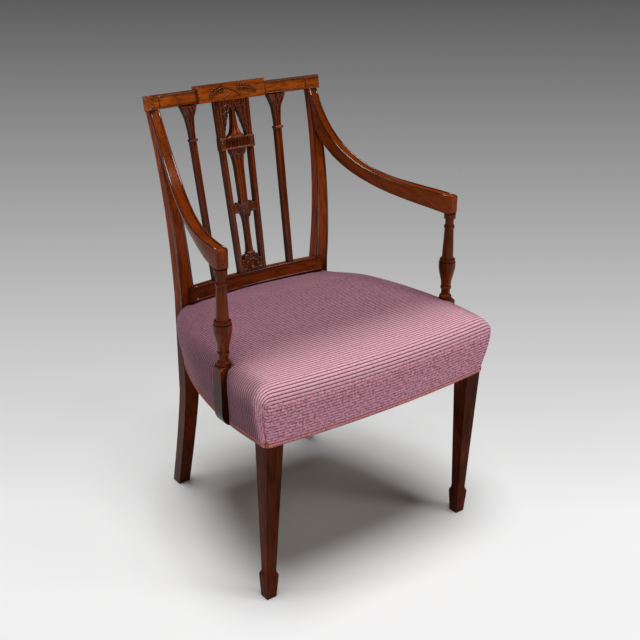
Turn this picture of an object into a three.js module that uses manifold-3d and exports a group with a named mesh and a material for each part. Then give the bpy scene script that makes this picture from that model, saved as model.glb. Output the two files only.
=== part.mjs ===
// A square-backed open armchair of the late eighteenth-century kind: mahogany show wood over a
// beech seat frame, a carved and pierced splat between two slender bars, swept arms on turned
// supports, square tapered front legs on spade feet, and a stuffed seat in ribbed cloth.
// Lengths are millimetres. +X is to the right seen from the front, the chair faces -Y, +Z is up.
import * as THREE from "three";
import { mergeVertices } from "three/addons/utils/BufferGeometryUtils.js";
import Module from "manifold-3d";

const wasm = await Module();
wasm.setup();

// Fits and cuts
const fit = 0.3; // gap between a piece and what it seats in or on
const overrun = 40; // how far a cutting shape runs past the face that it opens
const bite = 1; // how far members of one carved or turned piece run into each other

// Seat frame, seen from above
const frontLine = -232; // front faces of the front legs
const seatDepth = 418; // from there to the front faces of the back posts
const widestHalf = 266; // half the width where the side rails swell most
const rearHalf = 182; // half the width over the side rails where they meet the posts
const frontBow = 14; // how far the front rail swells past the legs
const backReach = 24; // from the front faces of the posts to the back of the back rail
const cornerRound = 7; // rounding of the front corners under the cloth
const tightRound = 1.5; // the least rounding of a corner
const railThickness = 28;
const backRailThickness = 22;
const railHeight = 63;
const railBottom = 342; // above the floor
const sideSweepShares = [
  [0, 0.05],
  [0.256, 0],
  [0.555, 0.18],
  [0.842, 0.6],
  [1, 1],
]; // share of the seat's depth, share of the way from the widest half to the rear half

// Front legs
const legSide = 36.6;
const ankleSide = 20;
const spadeSide = 27;
const toeSide = 21;
const spadeTop = 53; // height of the foot's upper edge
const ankleRise = 9; // from that edge to the ankle
const legToeOut = 2.5; // how far the leg's middle moves outwards on its way down
const legToeBack = 6; // and how far backwards

// Back posts, each leg and stile in one piece
const postFootDepth = 26;
const postDepth = 26;
const postTopDepth = 15;
const postFootWidth = 27;
const postWidth = 33;
const postPast = 6; // of the posts' outer sides past the side rails
const postTopWidth = 21;
const postSweep = 51; // how far the foot stands behind the seat
const postSetBack = 4.1; // of the post's face behind the crest rail's, where they meet
const postFlare = 13; // how far each post leans outwards at its top
const kneeHeight = 250; // where the leg starts to sweep back
const sweepPowerShare = 1.2;
const leanPowerShare = 2.1;
const flarePowerShare = 0.75;
const beadRadius = 2.2; // of the beads that edge posts, arms, crest and stay rail

// Back panel, a leaning plane whose rails are bowed on one radius
const rake = THREE.MathUtils.degToRad(10.94);
const backRadius = 680;
const stayRise = 25; // from the edge of the seat's top to the stay rail's top, at the middle
const stayHeight = 32;
const stayDepth = 18;
const panelHeight = 362; // from the stay rail to the crest rail, along the lean
const crestHeight = 28.5;
const crestDepth = 14;
const crestPast = 3.5; // from the arm's outer side to the crest rail's end
const tabletHalf = 82;
const tabletProud = 3.5; // past the crest rail's face
const tabletRise = 6.5; // above the crest rail
const tabletDrop = 1;
const splatProud = 3; // of the splat's face in front of the crest rail's
const barProud = 1; // of the bars' faces, likewise
const panelTenonBack = 6.8; // from the crest rail's face to the middle of the splat's tenons

// Bars between splat and posts
const barFootShare = 0.506; // of the way from the splat to the post
const barHeadShare = 0.462;
const barFootWidth = 13;
const barHeadWidth = 15;
const barDepth = 12;
const collarWidth = 19;
const collarDepth = 15;
const collarHeight = 7;
const capitalHeight = 66;
const capitalHalf = 19.5;
const capitalDepth = 15;

// Splat
const splatHeadHalf = 42.5;
const splatFootHalf = 34.5;
const uprightWidth = 12;
const splatDepth = 13;
const friezeTopShare = 0.79; // of the panel's height
const friezeHeight = 25;
const friezePast = 1.2; // past the uprights' outer sides
const friezeProud = 2; // past the splat's face
const fluteCount = 9;
const filletHeight = 3;
const leafRise = 4; // how far carved leaves stand above the ground of the splat
const clusterShare = 0.376; // of the panel's height, the middle of the leaf cluster
const clusterHalf = 14;
const clusterLeafHalf = 4.6;
const clusterLeafLength = 27;
const lugHeight = 20;
const lugSunk = 2; // behind the splat's face
const fanRadius = 36;
const fanHalf = 26;
const fanLeafHalf = 5.4;
const splatBase = 7; // the plain block under the fan
const bottleNeck = 4.6;
const torchHead = 20.5;
const torchFoot = 9;
const torchLeafHalf = 4.1;
const torchLeafLength = 20;
const drapeEdge = 2; // width of the drapery's thin lower end
const drapeSunk = 1; // behind the splat's face
const stemHalf = 6;

// Arms
const armHeadSetBack = 1.7; // of the arm's face behind the crest rail's, where they meet
const armHeadRise = 6.6; // of the arm's path above the crest rail's underside, before it is cut
const armTipPast = 11; // from the middle of the arm support to the arm's tip
const armHeight = 680.5; // of the arm's level top
const armHeadWidth = 21.6;
const armWidth = 24.5;
const armTipWidth = 22.5;
const armDepth = 27;
const armWaistDepth = 24.5;
const armTipDepth = 37;
const armNose = 7; // length over which the tip is rounded off
const reliefAcrossShare = 0.9; // of its width, the rounding of the arm's lower outer edge
const reliefUpShare = 0.76; // of its depth, likewise
const armRouteShares = [
  [0, 0, 0],
  [0.087, 0.024, 0.332],
  [0.207, 0.126, 0.62],
  [0.359, 0.312, 0.831],
  [0.533, 0.555, 0.946],
  [0.717, 0.801, 0.987],
  [0.87, 0.945, 0.996],
  [1, 1, 1],
]; // shares of the arm's run forwards, its spread and its fall

// Arm supports
const supportRun = 121; // from the front legs' faces to the middle of the supports
const blockHoused = 11; // how far the block is let into the side rail
const blockWidth = 30;
const blockDepth = 27;
const blockRise = 50; // above the rails, to the tops of its corners
const blockToe = 5; // thickness of the block at its swept lower end, outside the rail
const blockSweep = 28; // height of that sweep
const footRingRadius = 13.4;
const domeRadius = 13;
const neckRadius = 9.2;
const lowRingRadius = 11.6;
const vaseFootRadius = 10.2;
const vaseRadius = 17.5;
const shoulderRadius = 16.4;
const shaftFootRadius = 12;
const shaftHeadRadius = 9.3;
const highRingRadius = 11;
const collarNeckRadius = 8.7;
const capRadius = 12;
const pinRadius = 8;
const pinLength = 18;
const turnedSides = 14;
const turningShares = {
  pommel: 0.024,
  footRing: 0.018,
  dome: 0.038,
  neck: 0.053,
  ring: 0.0425,
  vase: 0.276,
  shoulder: 0.037,
  shaft: 0.34,
  collarNeck: 0.0745,
}; // shares of the height from the block's corners to the arm, the cap taking the rest

// Joints
const tenonLength = 12;
const tenonThickness = 9;
const tenonHeight = 42;
const smallTenon = 7; // length, width and thickness of the tenons of bars, splat and posts

// Screws
const screwHead = 4.2; // radius
const screwShank = 2.1; // radius
const screwLength = 40;
const screwSides = 8;
const landShare = 0.125; // of the head's radius, the thickness of its straight edge
const slotWidth = 1.2;
const slotDepth = 1.2;
const screwSunk = 1; // of the heads of the screws that hold the arm supports
const blockScrewShares = [0.3, 0.72]; // of the side rail's height
const armScrewShare = 0.73; // of the panel's height
const plugRadius = 5.5;
const plugDepth = 4;

// Corner blocks
const frontBlockReach = 105; // along each rail
const rearBlockReach = 92;
const cornerHeight = 38;
const cornerDrop = 10; // below the top of the rails
const cornerScrewShares = [0.3, 0.7]; // of the block's height
const cornerScrewRun = 55; // from the corner to each screw of a front block
const backScrewRun = 51; // from the corner to a rear block's screw into the back rail
const sideScrewRun = 34; // and to its screw into the side rail
const rearScrewSunk = 20; // of its heads behind its diagonal face

// Webbing, hessian and stuffing
const webWidth = 50;
const webThickness = 1.6;
const websAcross = 3;
const websAlong = 4;
const webMargin = 16; // from a strap's end to the outside of the rail
const webRamp = 12; // length in which a strap changes level
const hessianThickness = 1;
const hessianMargin = 6;
const stuffingHem = 20; // how far the stuffing stops above the foot of the rails

// Seat cover and braid
const clothOut = 2.5; // how far the cloth stands outside the frame along its lower edge
const clothThickness = 2.2;
const seatRise = 54; // from the rails to the seat's top just inside its rounded edge
const seatCrown = 11; // rise of the middle above that
const seatFall = 13; // how far the top falls towards the stay rail
const seatFallRun = 110; // length in which it falls
const seatSwell = 11.5; // how far the sides swell past their lower edge
const crownPowerShare = 2.6;
const crownRingShares = [0.84, 0.62, 0.34]; // of the way from the seat's middle to its edge
const seatRound = 26; // width of the rounded upper edge
const seatLift = 12; // straight height of the cloth behind the braid
const braidHeight = 10;
const braidThickness = 1.8;

// Places that follow from the sizes above
const frontHalf = THREE.MathUtils.lerp(widestHalf, rearHalf, sideSweepShares[0][1]);
const postLine = frontLine + seatDepth;
const backLine = postLine + backReach;
const railTop = railBottom + railHeight;
const seatEdgeHeight = railTop + seatRise;
const postOuter = rearHalf + postPast;
const postInner = postOuter - postWidth;
const stayTop = seatEdgeHeight + stayRise;
const stayCentreLine = postLine + bowAt(postInner) * Math.cos(rake);
const armHeadHalf = postOuter + postFlare - postTopWidth / 2;
const crestFaceAtArm =
  stayCentreLine + panelHeight * Math.sin(rake) - bowAt(armHeadHalf) * Math.cos(rake);
const postLean = crestFaceAtArm + postSetBack - postLine;
const armHeadLine = crestFaceAtArm + armHeadSetBack;
const armHeadHeight = stayTop + panelHeight * Math.cos(rake) + armHeadRise;
const crestHalf = armHeadHalf + armHeadWidth / 2 + crestPast;
const splatBack = splatDepth - splatProud;
const barFoot = THREE.MathUtils.lerp(splatFootHalf, postInner, barFootShare);
const barHead = THREE.MathUtils.lerp(splatHeadHalf, armHeadHalf - postTopWidth / 2, barHeadShare);
const blockTop = railTop + blockRise;
const supportLine = frontLine + supportRun;
const supportLow = widestHalf - blockHoused;
const supportHalf = supportLow + blockWidth / 2;
const armTipLine = supportLine - armTipPast;
const supportFront = supportLine - blockDepth / 2;
const supportBack = supportLine + blockDepth / 2;
const webLow = railTop + fit;
const webHigh = webLow + webThickness + fit;
const hessianBottom = webHigh + webThickness + fit;
const stuffingBottom = hessianBottom + hessianThickness + fit;

// Solids from geometry, and geometry from solids

function solidOf(geometry) {
  const bare = geometry.clone();
  bare.deleteAttribute("normal");
  bare.deleteAttribute("uv");
  const merged = mergeVertices(bare);
  const mesh = new wasm.Mesh({
    numProp: 3,
    vertProperties: merged.attributes.position.array,
    triVerts: new Uint32Array(merged.index.array),
  });
  return new wasm.Manifold(mesh);
}

function geometryOf(solid) {
  const { vertProperties, triVerts } = solid.getMesh();
  const geometry = new THREE.BufferGeometry();
  geometry.setAttribute("position", new THREE.BufferAttribute(vertProperties, 3));
  geometry.setIndex(new THREE.BufferAttribute(triVerts, 1));
  return geometry;
}

function join(...solids) {
  return solids.reduce((whole, next) => whole.add(next));
}

function cut(solid, ...cutters) {
  return cutters.reduce((rest, cutter) => rest.subtract(cutter), solid);
}

// Basic forms

// A box between two places on each axis, placed by a matrix where one is given.
function box([x0, x1], [y0, y1], [z0, z1], placing) {
  const geometry = new THREE.BoxGeometry(x1 - x0, y1 - y0, z1 - z0);
  geometry.translate((x0 + x1) / 2, (y0 + y1) / 2, (z0 + z1) / 2);
  if (placing) geometry.applyMatrix4(placing);
  return solidOf(geometry);
}

// A prism on a plan drawn in X and Y, between two heights.
function prism(plan, low, high) {
  const geometry = new THREE.ExtrudeGeometry(new THREE.Shape(plan), {
    depth: high - low,
    bevelEnabled: false,
  });
  geometry.translate(0, 0, low);
  return solidOf(geometry);
}

// A solid turned about Z from a profile of radius and height, from bottom to top.
function turned(profile, sides, placing) {
  const geometry = new THREE.LatheGeometry(
    profile.map(([radius, height]) => new THREE.Vector2(radius, height)),
    sides,
  );
  geometry.rotateX(Math.PI / 2);
  if (placing) geometry.applyMatrix4(placing);
  return solidOf(geometry);
}

// A skin over sections of equal point count, closed by a flat end on the first and the last.
// Each outline runs anticlockwise seen from the side that the loft travels to.
function loft(sections) {
  const count = sections[0].outline.length;
  const positions = [];
  const index = [];
  for (const { outline, frame } of sections)
    for (const point of outline)
      positions.push(...new THREE.Vector3(point.x, point.y, 0).applyMatrix4(frame));
  for (let row = 0; row + 1 < sections.length; row++)
    for (let i = 0; i < count; i++) {
      const near = row * count + i;
      const next = row * count + ((i + 1) % count);
      index.push(near, next, next + count, near, next + count, near + count);
    }
  const last = (sections.length - 1) * count;
  for (const [a, b, c] of THREE.ShapeUtils.triangulateShape(sections[0].outline, []))
    index.push(c, b, a);
  for (const [a, b, c] of THREE.ShapeUtils.triangulateShape(sections.at(-1).outline, []))
    index.push(last + a, last + b, last + c);
  const geometry = new THREE.BufferGeometry();
  geometry.setAttribute("position", new THREE.Float32BufferAttribute(positions, 3));
  geometry.setIndex(index);
  return solidOf(geometry);
}

// The frame of a section: across it, out of its face, and along the loft.
function frameAt(origin, across, out) {
  const along = new THREE.Vector3().crossVectors(across, out);
  return new THREE.Matrix4().makeBasis(across, out, along).setPosition(origin);
}

// Section outlines, their face along y = 0 and their body below it

function plainSection(width, depth) {
  const half = width / 2;
  return [
    new THREE.Vector2(half, -depth),
    new THREE.Vector2(half, 0),
    new THREE.Vector2(-half, 0),
    new THREE.Vector2(-half, -depth),
  ];
}

// A flat, sunk a little, between two beads that round the edges of the face. The lower edge on
// the right can be rounded off by shares of the section's own width and depth.
function beadedSection(width, depth, radius, relief = 0) {
  const steps = 3;
  const sweepShare = 0.8; // of half a turn
  const sinkShare = 0.6; // of the bead's radius
  const edge = [];
  for (let i = 0; i <= steps; i++) {
    const turn = (Math.PI * sweepShare * i) / steps;
    edge.push([width / 2 - radius + radius * Math.cos(turn), radius * Math.sin(turn) - radius]);
  }
  edge.push([width / 2 - 2 * radius, -radius * sinkShare]);
  const lowerEdge = [];
  for (let i = 0; i <= (relief ? steps : 0); i++) {
    const turn = ((Math.PI / 2) * i) / steps;
    const x = width / 2 - relief * width * reliefAcrossShare * (1 - Math.sin(turn));
    const y = relief * depth * reliefUpShare * (1 - Math.cos(turn)) - depth;
    lowerEdge.push([x, y]);
  }
  const left = [[width / 2, -depth], ...edge].map(([x, y]) => [-x, y]).reverse();
  return [...lowerEdge, ...edge, ...left].map(([x, y]) => new THREE.Vector2(x, y));
}

// A row of half-round reeds on a flat back.
function reededSection(width, depth, reeds, steps = reeds > 1 ? 3 : 6) {
  const reedWidth = width / reeds;
  const rise = Math.min(reedWidth / 2, depth / 2);
  const points = [new THREE.Vector2(width / 2, -depth)];
  for (let reed = 0; reed < reeds; reed++)
    for (let i = reed ? 1 : 0; i <= steps; i++) {
      const turn = (Math.PI * i) / steps;
      const middle = width / 2 - reedWidth * (reed + 1 / 2);
      points.push(
        new THREE.Vector2(middle + (reedWidth / 2) * Math.cos(turn), rise * Math.sin(turn) - rise),
      );
    }
  points.push(new THREE.Vector2(-width / 2, -depth));
  return points;
}

// The leaning plane of the back

// How far a rail's face stands in front of its middle, at x.
function bowAt(x) {
  return (x * x) / (2 * backRadius);
}

// Coordinates of the back: x, backwards out of the plane, and up along the lean.
const backPlane = new THREE.Matrix4()
  .makeRotationX(-rake)
  .setPosition(0, stayCentreLine, stayTop);

function onBack(x, back, up) {
  return new THREE.Vector3(x, back, up).applyMatrix4(backPlane);
}

// A section of an upright piece of the back, its face towards the sitter.
function uprightFrame(x, back, up) {
  const frame = frameAt(
    new THREE.Vector3(x, back, up),
    new THREE.Vector3(-1, 0, 0),
    new THREE.Vector3(0, -1, 0),
  );
  return frame.premultiply(backPlane);
}

// A bowed rail of the back: a section swept from one place on X to another.
function bowedRail(section, from, to, back, up, steps) {
  const sections = [];
  for (let i = 0; i <= steps; i++) {
    const x = from + ((to - from) * i) / steps;
    const slope = -x / backRadius;
    const out = new THREE.Vector3(slope, -1, 0).normalize();
    const origin = new THREE.Vector3(x, back - bowAt(x), up);
    const frame = frameAt(origin, new THREE.Vector3(0, 0, 1), out).premultiply(backPlane);
    sections.push({ outline: section, frame });
  }
  return loft(sections);
}

// The seat frame's outline

// Half the width of the frame, from its front corner to the front of the posts.
const sideCurve = new THREE.SplineCurve(
  sideSweepShares.map(
    ([depth, fall]) =>
      new THREE.Vector2(
        widestHalf - (widestHalf - rearHalf) * fall,
        frontLine + seatDepth * depth,
      ),
  ),
);

// Points along that side, carried straight on past both ends, each with its outward normal.
const sideTrace = traceSide();

function traceSide() {
  const traceSteps = 60;
  const points = sideCurve.getSpacedPoints(traceSteps);
  const carry = (from, end) => {
    const onward = end.clone().sub(from).setLength(2 * overrun);
    return end.clone().add(onward);
  };
  points.unshift(carry(points[1], points[0]));
  points.push(carry(points.at(-2), points.at(-1)));
  return points.map((point, i) => {
    const along = points[Math.min(i + 1, points.length - 1)].clone();
    along.sub(points[Math.max(i - 1, 0)]);
    return { point, normal: new THREE.Vector2(along.y, -along.x).normalize() };
  });
}

// Half the width at a place front to back, on an outline moved outwards by a distance.
function sideHalfAt(y, out = 0) {
  const moved = sideTrace.map(({ point, normal }) => point.clone().addScaledVector(normal, out));
  const i = THREE.MathUtils.clamp(
    moved.findIndex((point) => point.y > y),
    1,
    moved.length - 1,
  );
  return THREE.MathUtils.mapLinear(y, moved[i - 1].y, moved[i].y, moved[i - 1].x, moved[i].x);
}

function frontLineAt(x) {
  return frontLine - frontBow * (1 - (x / frontHalf) ** 2);
}

// The whole plan moved outwards by a distance, anticlockwise seen from above.
function seatPlan(out, round = Math.max(cornerRound + out, tightRound)) {
  const frontSteps = 6;
  const cornerSteps = 3;
  const sideSteps = 13;
  const cornerX = sideHalfAt(frontLine, out);
  const before = cornerX - round;
  const right = [];
  for (let i = 0; i < frontSteps; i++) {
    const x = (before * i) / frontSteps;
    right.push(new THREE.Vector2(x, frontLineAt(x) - out));
  }
  const sideStart = frontLineAt(cornerX) - out + round;
  const bend = new THREE.QuadraticBezierCurve(
    new THREE.Vector2(before, frontLineAt(before) - out),
    new THREE.Vector2(cornerX, frontLineAt(cornerX) - out),
    new THREE.Vector2(sideHalfAt(sideStart, out), sideStart),
  );
  right.push(...bend.getPoints(cornerSteps));
  const sideEnd = backLine + out;
  for (let i = 1; i <= sideSteps; i++) {
    const y = sideStart + ((sideEnd - sideStart) * i) / sideSteps;
    right.push(new THREE.Vector2(sideHalfAt(y, out), y));
  }
  const left = right
    .slice(1)
    .map((point) => new THREE.Vector2(-point.x, point.y))
    .reverse();
  return [...right, ...left];
}

// Joints

// A tenon on the right of the chair, or its mortise where it is grown by a gap.
function tenon([x0, x1], [y0, y1], [z0, z1], grow = 0) {
  return box([x0 - grow, x1 + grow], [y0 - grow, y1 + grow], [z0 - grow, z1 + grow]);
}

const tenonLow = railBottom + (railHeight - tenonHeight) / 2;
const tenonSpan = [tenonLow, tenonLow + tenonHeight];
const legInner = frontHalf - legSide;
const legBack = frontLine + legSide;

// Front rail into leg, side rail into leg, side rail into post, back rail into post.
function frontRailTenon(grow) {
  const middle = frontLine + railThickness / 2;
  const across = [middle - tenonThickness / 2, middle + tenonThickness / 2];
  return tenon([legInner - tenonLength, legInner + tenonLength], across, tenonSpan, grow);
}

function sideRailFrontTenon(grow) {
  const middle = frontHalf - railThickness / 2;
  const across = [middle - tenonThickness / 2, middle + tenonThickness / 2];
  return tenon(across, [legBack - tenonLength, legBack + tenonLength], tenonSpan, grow);
}

function sideRailRearTenon(grow) {
  const middle = rearHalf - railThickness / 2;
  const across = [middle - tenonThickness / 2, middle + tenonThickness / 2];
  return tenon(across, [postLine - 2 * tenonLength, postLine + tenonLength], tenonSpan, grow);
}

function backRailTenon(grow) {
  const middle = backLine - backRailThickness / 2;
  const across = [middle, middle + tenonThickness];
  return tenon([postInner - tenonLength, postInner + tenonLength], across, tenonSpan, grow);
}

function stayTenon(grow) {
  const low = -stayHeight + smallTenon;
  const back = stayDepth / 2 - bowAt(postInner);
  const half = smallTenon / 2 + grow;
  return box(
    [postInner - tenonLength - grow, postInner + tenonLength + grow],
    [back - half, back + half],
    [low - grow, -smallTenon + grow],
    backPlane,
  );
}

function postTopTenon(grow) {
  const x = armHeadHalf;
  const back = (postSetBack + crestDepth) / 2 - bowAt(x);
  const half = smallTenon / 2 + grow;
  return box(
    [x - half, x + half],
    [back - half, back + half],
    [panelHeight - smallTenon - overrun / 2, panelHeight + smallTenon + grow],
    backPlane,
  );
}

function barTenons(grow) {
  const half = smallTenon / 2 + grow;
  const back = panelTenonBack;
  const place = (x, low, high) =>
    box(
      [x - half, x + half],
      [back - bowAt(x) - half, back - bowAt(x) + half],
      [low, high],
      backPlane,
    );
  return join(
    place(barFoot, -smallTenon - grow, smallTenon),
    place(barHead, panelHeight - smallTenon, panelHeight + smallTenon + grow),
  );
}

function splatTenons(grow) {
  const half = smallTenon / 2 + grow;
  const back = panelTenonBack;
  const place = (reach, low, high) =>
    box([-reach - grow, reach + grow], [back - half, back + half], [low, high], backPlane);
  return join(
    place(splatFootHalf - smallTenon, -smallTenon - grow, fit + splatBase / 2),
    place(splatHeadHalf - smallTenon, panelHeight - smallTenon, panelHeight + smallTenon + grow),
  );
}

// Everything above the crest rail's underside, which posts and arms are cut to.
function aboveCrest() {
  const reach = crestHalf + overrun;
  return box(
    [-reach, reach],
    [-crestHalf, crestHalf],
    [panelHeight - fit, panelHeight + overrun * 2],
    backPlane,
  );
}

// Back posts

// Where the post's front face stands at a height, its depth, outer side and width.
function postAt(z) {
  const top = stayTop + panelHeight * Math.cos(rake);
  const lean = Math.max(0, (z - stayTop) / (top - stayTop));
  const sweep = Math.max(0, (kneeHeight - z) / kneeHeight);
  const { lerp } = THREE.MathUtils;
  return {
    front: postLine + postLean * lean ** leanPowerShare + postSweep * sweep ** sweepPowerShare,
    depth: lean ? lerp(postDepth, postTopDepth, lean) : lerp(postDepth, postFootDepth, sweep),
    outer: postOuter + postFlare * lean ** flarePowerShare,
    width: lean ? lerp(postWidth, postTopWidth, lean) : lerp(postWidth, postFootWidth, sweep),
  };
}

// A post between two heights, grown by a gap, and for a cut made deeper and wider as well.
function postPiece(low, high, steps, section, grow = 0, deeper = 0, wider = 0) {
  const sections = [];
  for (let i = 0; i <= steps; i++) {
    const z = low + ((high - low) * i) / steps;
    const { front, depth, outer, width } = postAt(z);
    const origin = new THREE.Vector3(outer - width / 2, front - grow, z);
    sections.push({
      outline: section(width + 2 * (grow + wider), depth + 2 * grow + deeper),
      frame: frameAt(origin, new THREE.Vector3(-1, 0, 0), new THREE.Vector3(0, -1, 0)),
    });
  }
  return loft(sections);
}

function postClearance(deeper = 0, wider = 0) {
  const high = armHeadHeight + overrun;
  return postPiece(railTop, high, 14, plainSection, fit, deeper, wider);
}

function backPost() {
  const beaded = (width, depth) => beadedSection(width, depth, beadRadius);
  const leg = postPiece(0, kneeHeight, 8, plainSection);
  const stump = postPiece(kneeHeight, railTop, 1, plainSection);
  const stile = postPiece(railTop, armHeadHeight + overrun, 14, beaded);
  return join(cut(join(leg, stump, stile), aboveCrest()), postTopTenon(0));
}

// Front legs

function frontLeg() {
  const stations = [
    [0, toeSide],
    [spadeTop - ankleRise / 3, spadeSide],
    [spadeTop, spadeSide - ankleRise / 6],
    [spadeTop + ankleRise / 2, ankleSide + ankleRise / 6],
    [spadeTop + ankleRise, ankleSide],
    [railBottom, legSide],
    [railTop, legSide],
  ];
  const shape = join(
    box([0, widestHalf + overrun], [frontLine - overrun, legBack + overrun], [0, railBottom]),
    prism(seatPlan(0), railBottom - fit, railTop),
  );
  const sections = stations.map(([z, side]) => {
    const down = Math.max(0, (railBottom - z) / railBottom);
    const x = frontHalf - legSide / 2 + legToeOut * down;
    const y = frontLine + legSide / 2 + legToeBack * down - side / 2;
    return {
      outline: plainSection(side, side),
      frame: frameAt(
        new THREE.Vector3(x, y, z),
        new THREE.Vector3(-1, 0, 0),
        new THREE.Vector3(0, -1, 0),
      ),
    };
  });
  return loft(sections).intersect(shape);
}

// Seat rails

// The frame as a ring as high as the rails.
function railRing() {
  return cut(
    prism(seatPlan(0), railBottom, railTop),
    prism(seatPlan(-railThickness), railBottom - overrun, railTop + overrun),
  );
}

function frontRail() {
  const half = legInner - fit;
  const reach = [frontLine - overrun, legBack + overrun];
  const body = railRing().intersect(
    box([-half, half], reach, [railBottom - overrun, railTop + overrun]),
  );
  return join(body, frontRailTenon(0), mirrored(frontRailTenon(0)));
}

function sideRail() {
  const region = box(
    [postInner - overrun, widestHalf + overrun],
    [legBack + fit, postLine - fit],
    [railBottom - overrun, railTop + overrun],
  );
  const body = railRing().intersect(region);
  return join(body, sideRailFrontTenon(0), sideRailRearTenon(0));
}

function backRail() {
  const half = postInner - fit;
  const body = box([-half, half], [backLine - backRailThickness, backLine], [railBottom, railTop]);
  return join(body, backRailTenon(0), mirrored(backRailTenon(0)));
}

function mirrored(solid) {
  const geometry = geometryOf(solid);
  const flip = new THREE.Matrix4().makeScale(-1, 1, 1);
  geometry.applyMatrix4(flip);
  const { array } = geometry.index;
  for (let i = 0; i < array.length; i += 3) [array[i], array[i + 1]] = [array[i + 1], array[i]];
  return solidOf(geometry);
}

// Crest rail and stay rail

function crestRail() {
  const steps = 16;
  const section = beadedSection(crestHeight, crestDepth, beadRadius);
  const middle = panelHeight + crestHeight / 2;
  const rail = bowedRail(section, -crestHalf, crestHalf, 0, middle, steps);
  const height = crestHeight + tabletRise + tabletDrop;
  const tabletMiddle = middle + (tabletRise - tabletDrop) / 2;
  const depth = crestDepth + tabletProud;
  const tablet = plainSection(height, depth);
  return join(
    rail,
    bowedRail(tablet, -tabletHalf, tabletHalf, -tabletProud, tabletMiddle, steps / 2),
  );
}

function stayRail(grow = 0) {
  const steps = 12;
  const reach = postInner + tenonLength;
  const outline = grow
    ? plainSection(stayHeight + 2 * grow, stayDepth + 2 * grow)
    : beadedSection(stayHeight, stayDepth, beadRadius);
  return bowedRail(outline, -reach, reach, -grow, -stayHeight / 2, steps);
}

// Bars

function backBar() {
  const { lerp } = THREE.MathUtils;
  const collarLow = panelHeight - fit - capitalHeight - collarHeight;
  const frame = (up, forward) => {
    const x = lerp(barFoot, barHead, up / panelHeight);
    return uprightFrame(x, -barProud - bowAt(x) - forward, up);
  };
  const widthAt = (up) => lerp(barFootWidth, barHeadWidth, up / panelHeight);
  const shaft = loft(
    [fit, collarLow + collarHeight / 2].map((up) => ({
      outline: reededSection(widthAt(up), barDepth, 2),
      frame: frame(up, 0),
    })),
  );
  const collarForward = (collarDepth - barDepth) / 2;
  const collar = loft(
    [collarLow, collarLow + collarHeight].map((up) => ({
      outline: reededSection(collarWidth, collarDepth, 1),
      frame: frame(up, collarForward),
    })),
  );
  const capitalShares = [
    [0, 0.31],
    [0.25, 0.34],
    [0.5, 0.43],
    [0.72, 0.6],
    [0.88, 0.83],
    [1, 1],
  ]; // share of the capital's height, share of its half-width
  const capital = loft(
    capitalShares.map(([rise, spread]) => ({
      outline: reededSection(2 * capitalHalf * spread, lerp(barDepth, capitalDepth, rise), 3),
      frame: frame(
        THREE.MathUtils.lerp(collarLow + collarHeight / 2, panelHeight - fit, rise),
        ((capitalDepth - barDepth) * rise) / 2,
      ),
    })),
  );
  return join(shaft, collar, capital, barTenons(0));
}

// Splat

// An upright carved member: half-widths at heights, with reeds on its face.
function splatMember(stations, reeds, depth, middleAt = () => 0) {
  return loft(
    stations.map(([up, half]) => ({
      outline: reededSection(2 * half, depth, reeds),
      frame: uprightFrame(middleAt(up), splatBack - depth, up),
    })),
  );
}

// A carved leaf: a stretched ball that leans from upright by an angle.
function leaf(x, up, half, length, turn, rise = leafRise) {
  const backShare = 1 / 3; // of the splat's depth, to the middle of the ball
  const geometry = new THREE.SphereGeometry(1, 7, 5);
  geometry.scale(half, rise + splatDepth * backShare, length / 2);
  geometry.translate(0, 0, length / 2);
  geometry.rotateY(turn);
  geometry.translate(x, splatDepth * backShare - splatProud, up);
  geometry.applyMatrix4(backPlane);
  return solidOf(geometry);
}

function splatHalfAt(up) {
  return THREE.MathUtils.lerp(splatFootHalf, splatHeadHalf, up / panelHeight);
}

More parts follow.
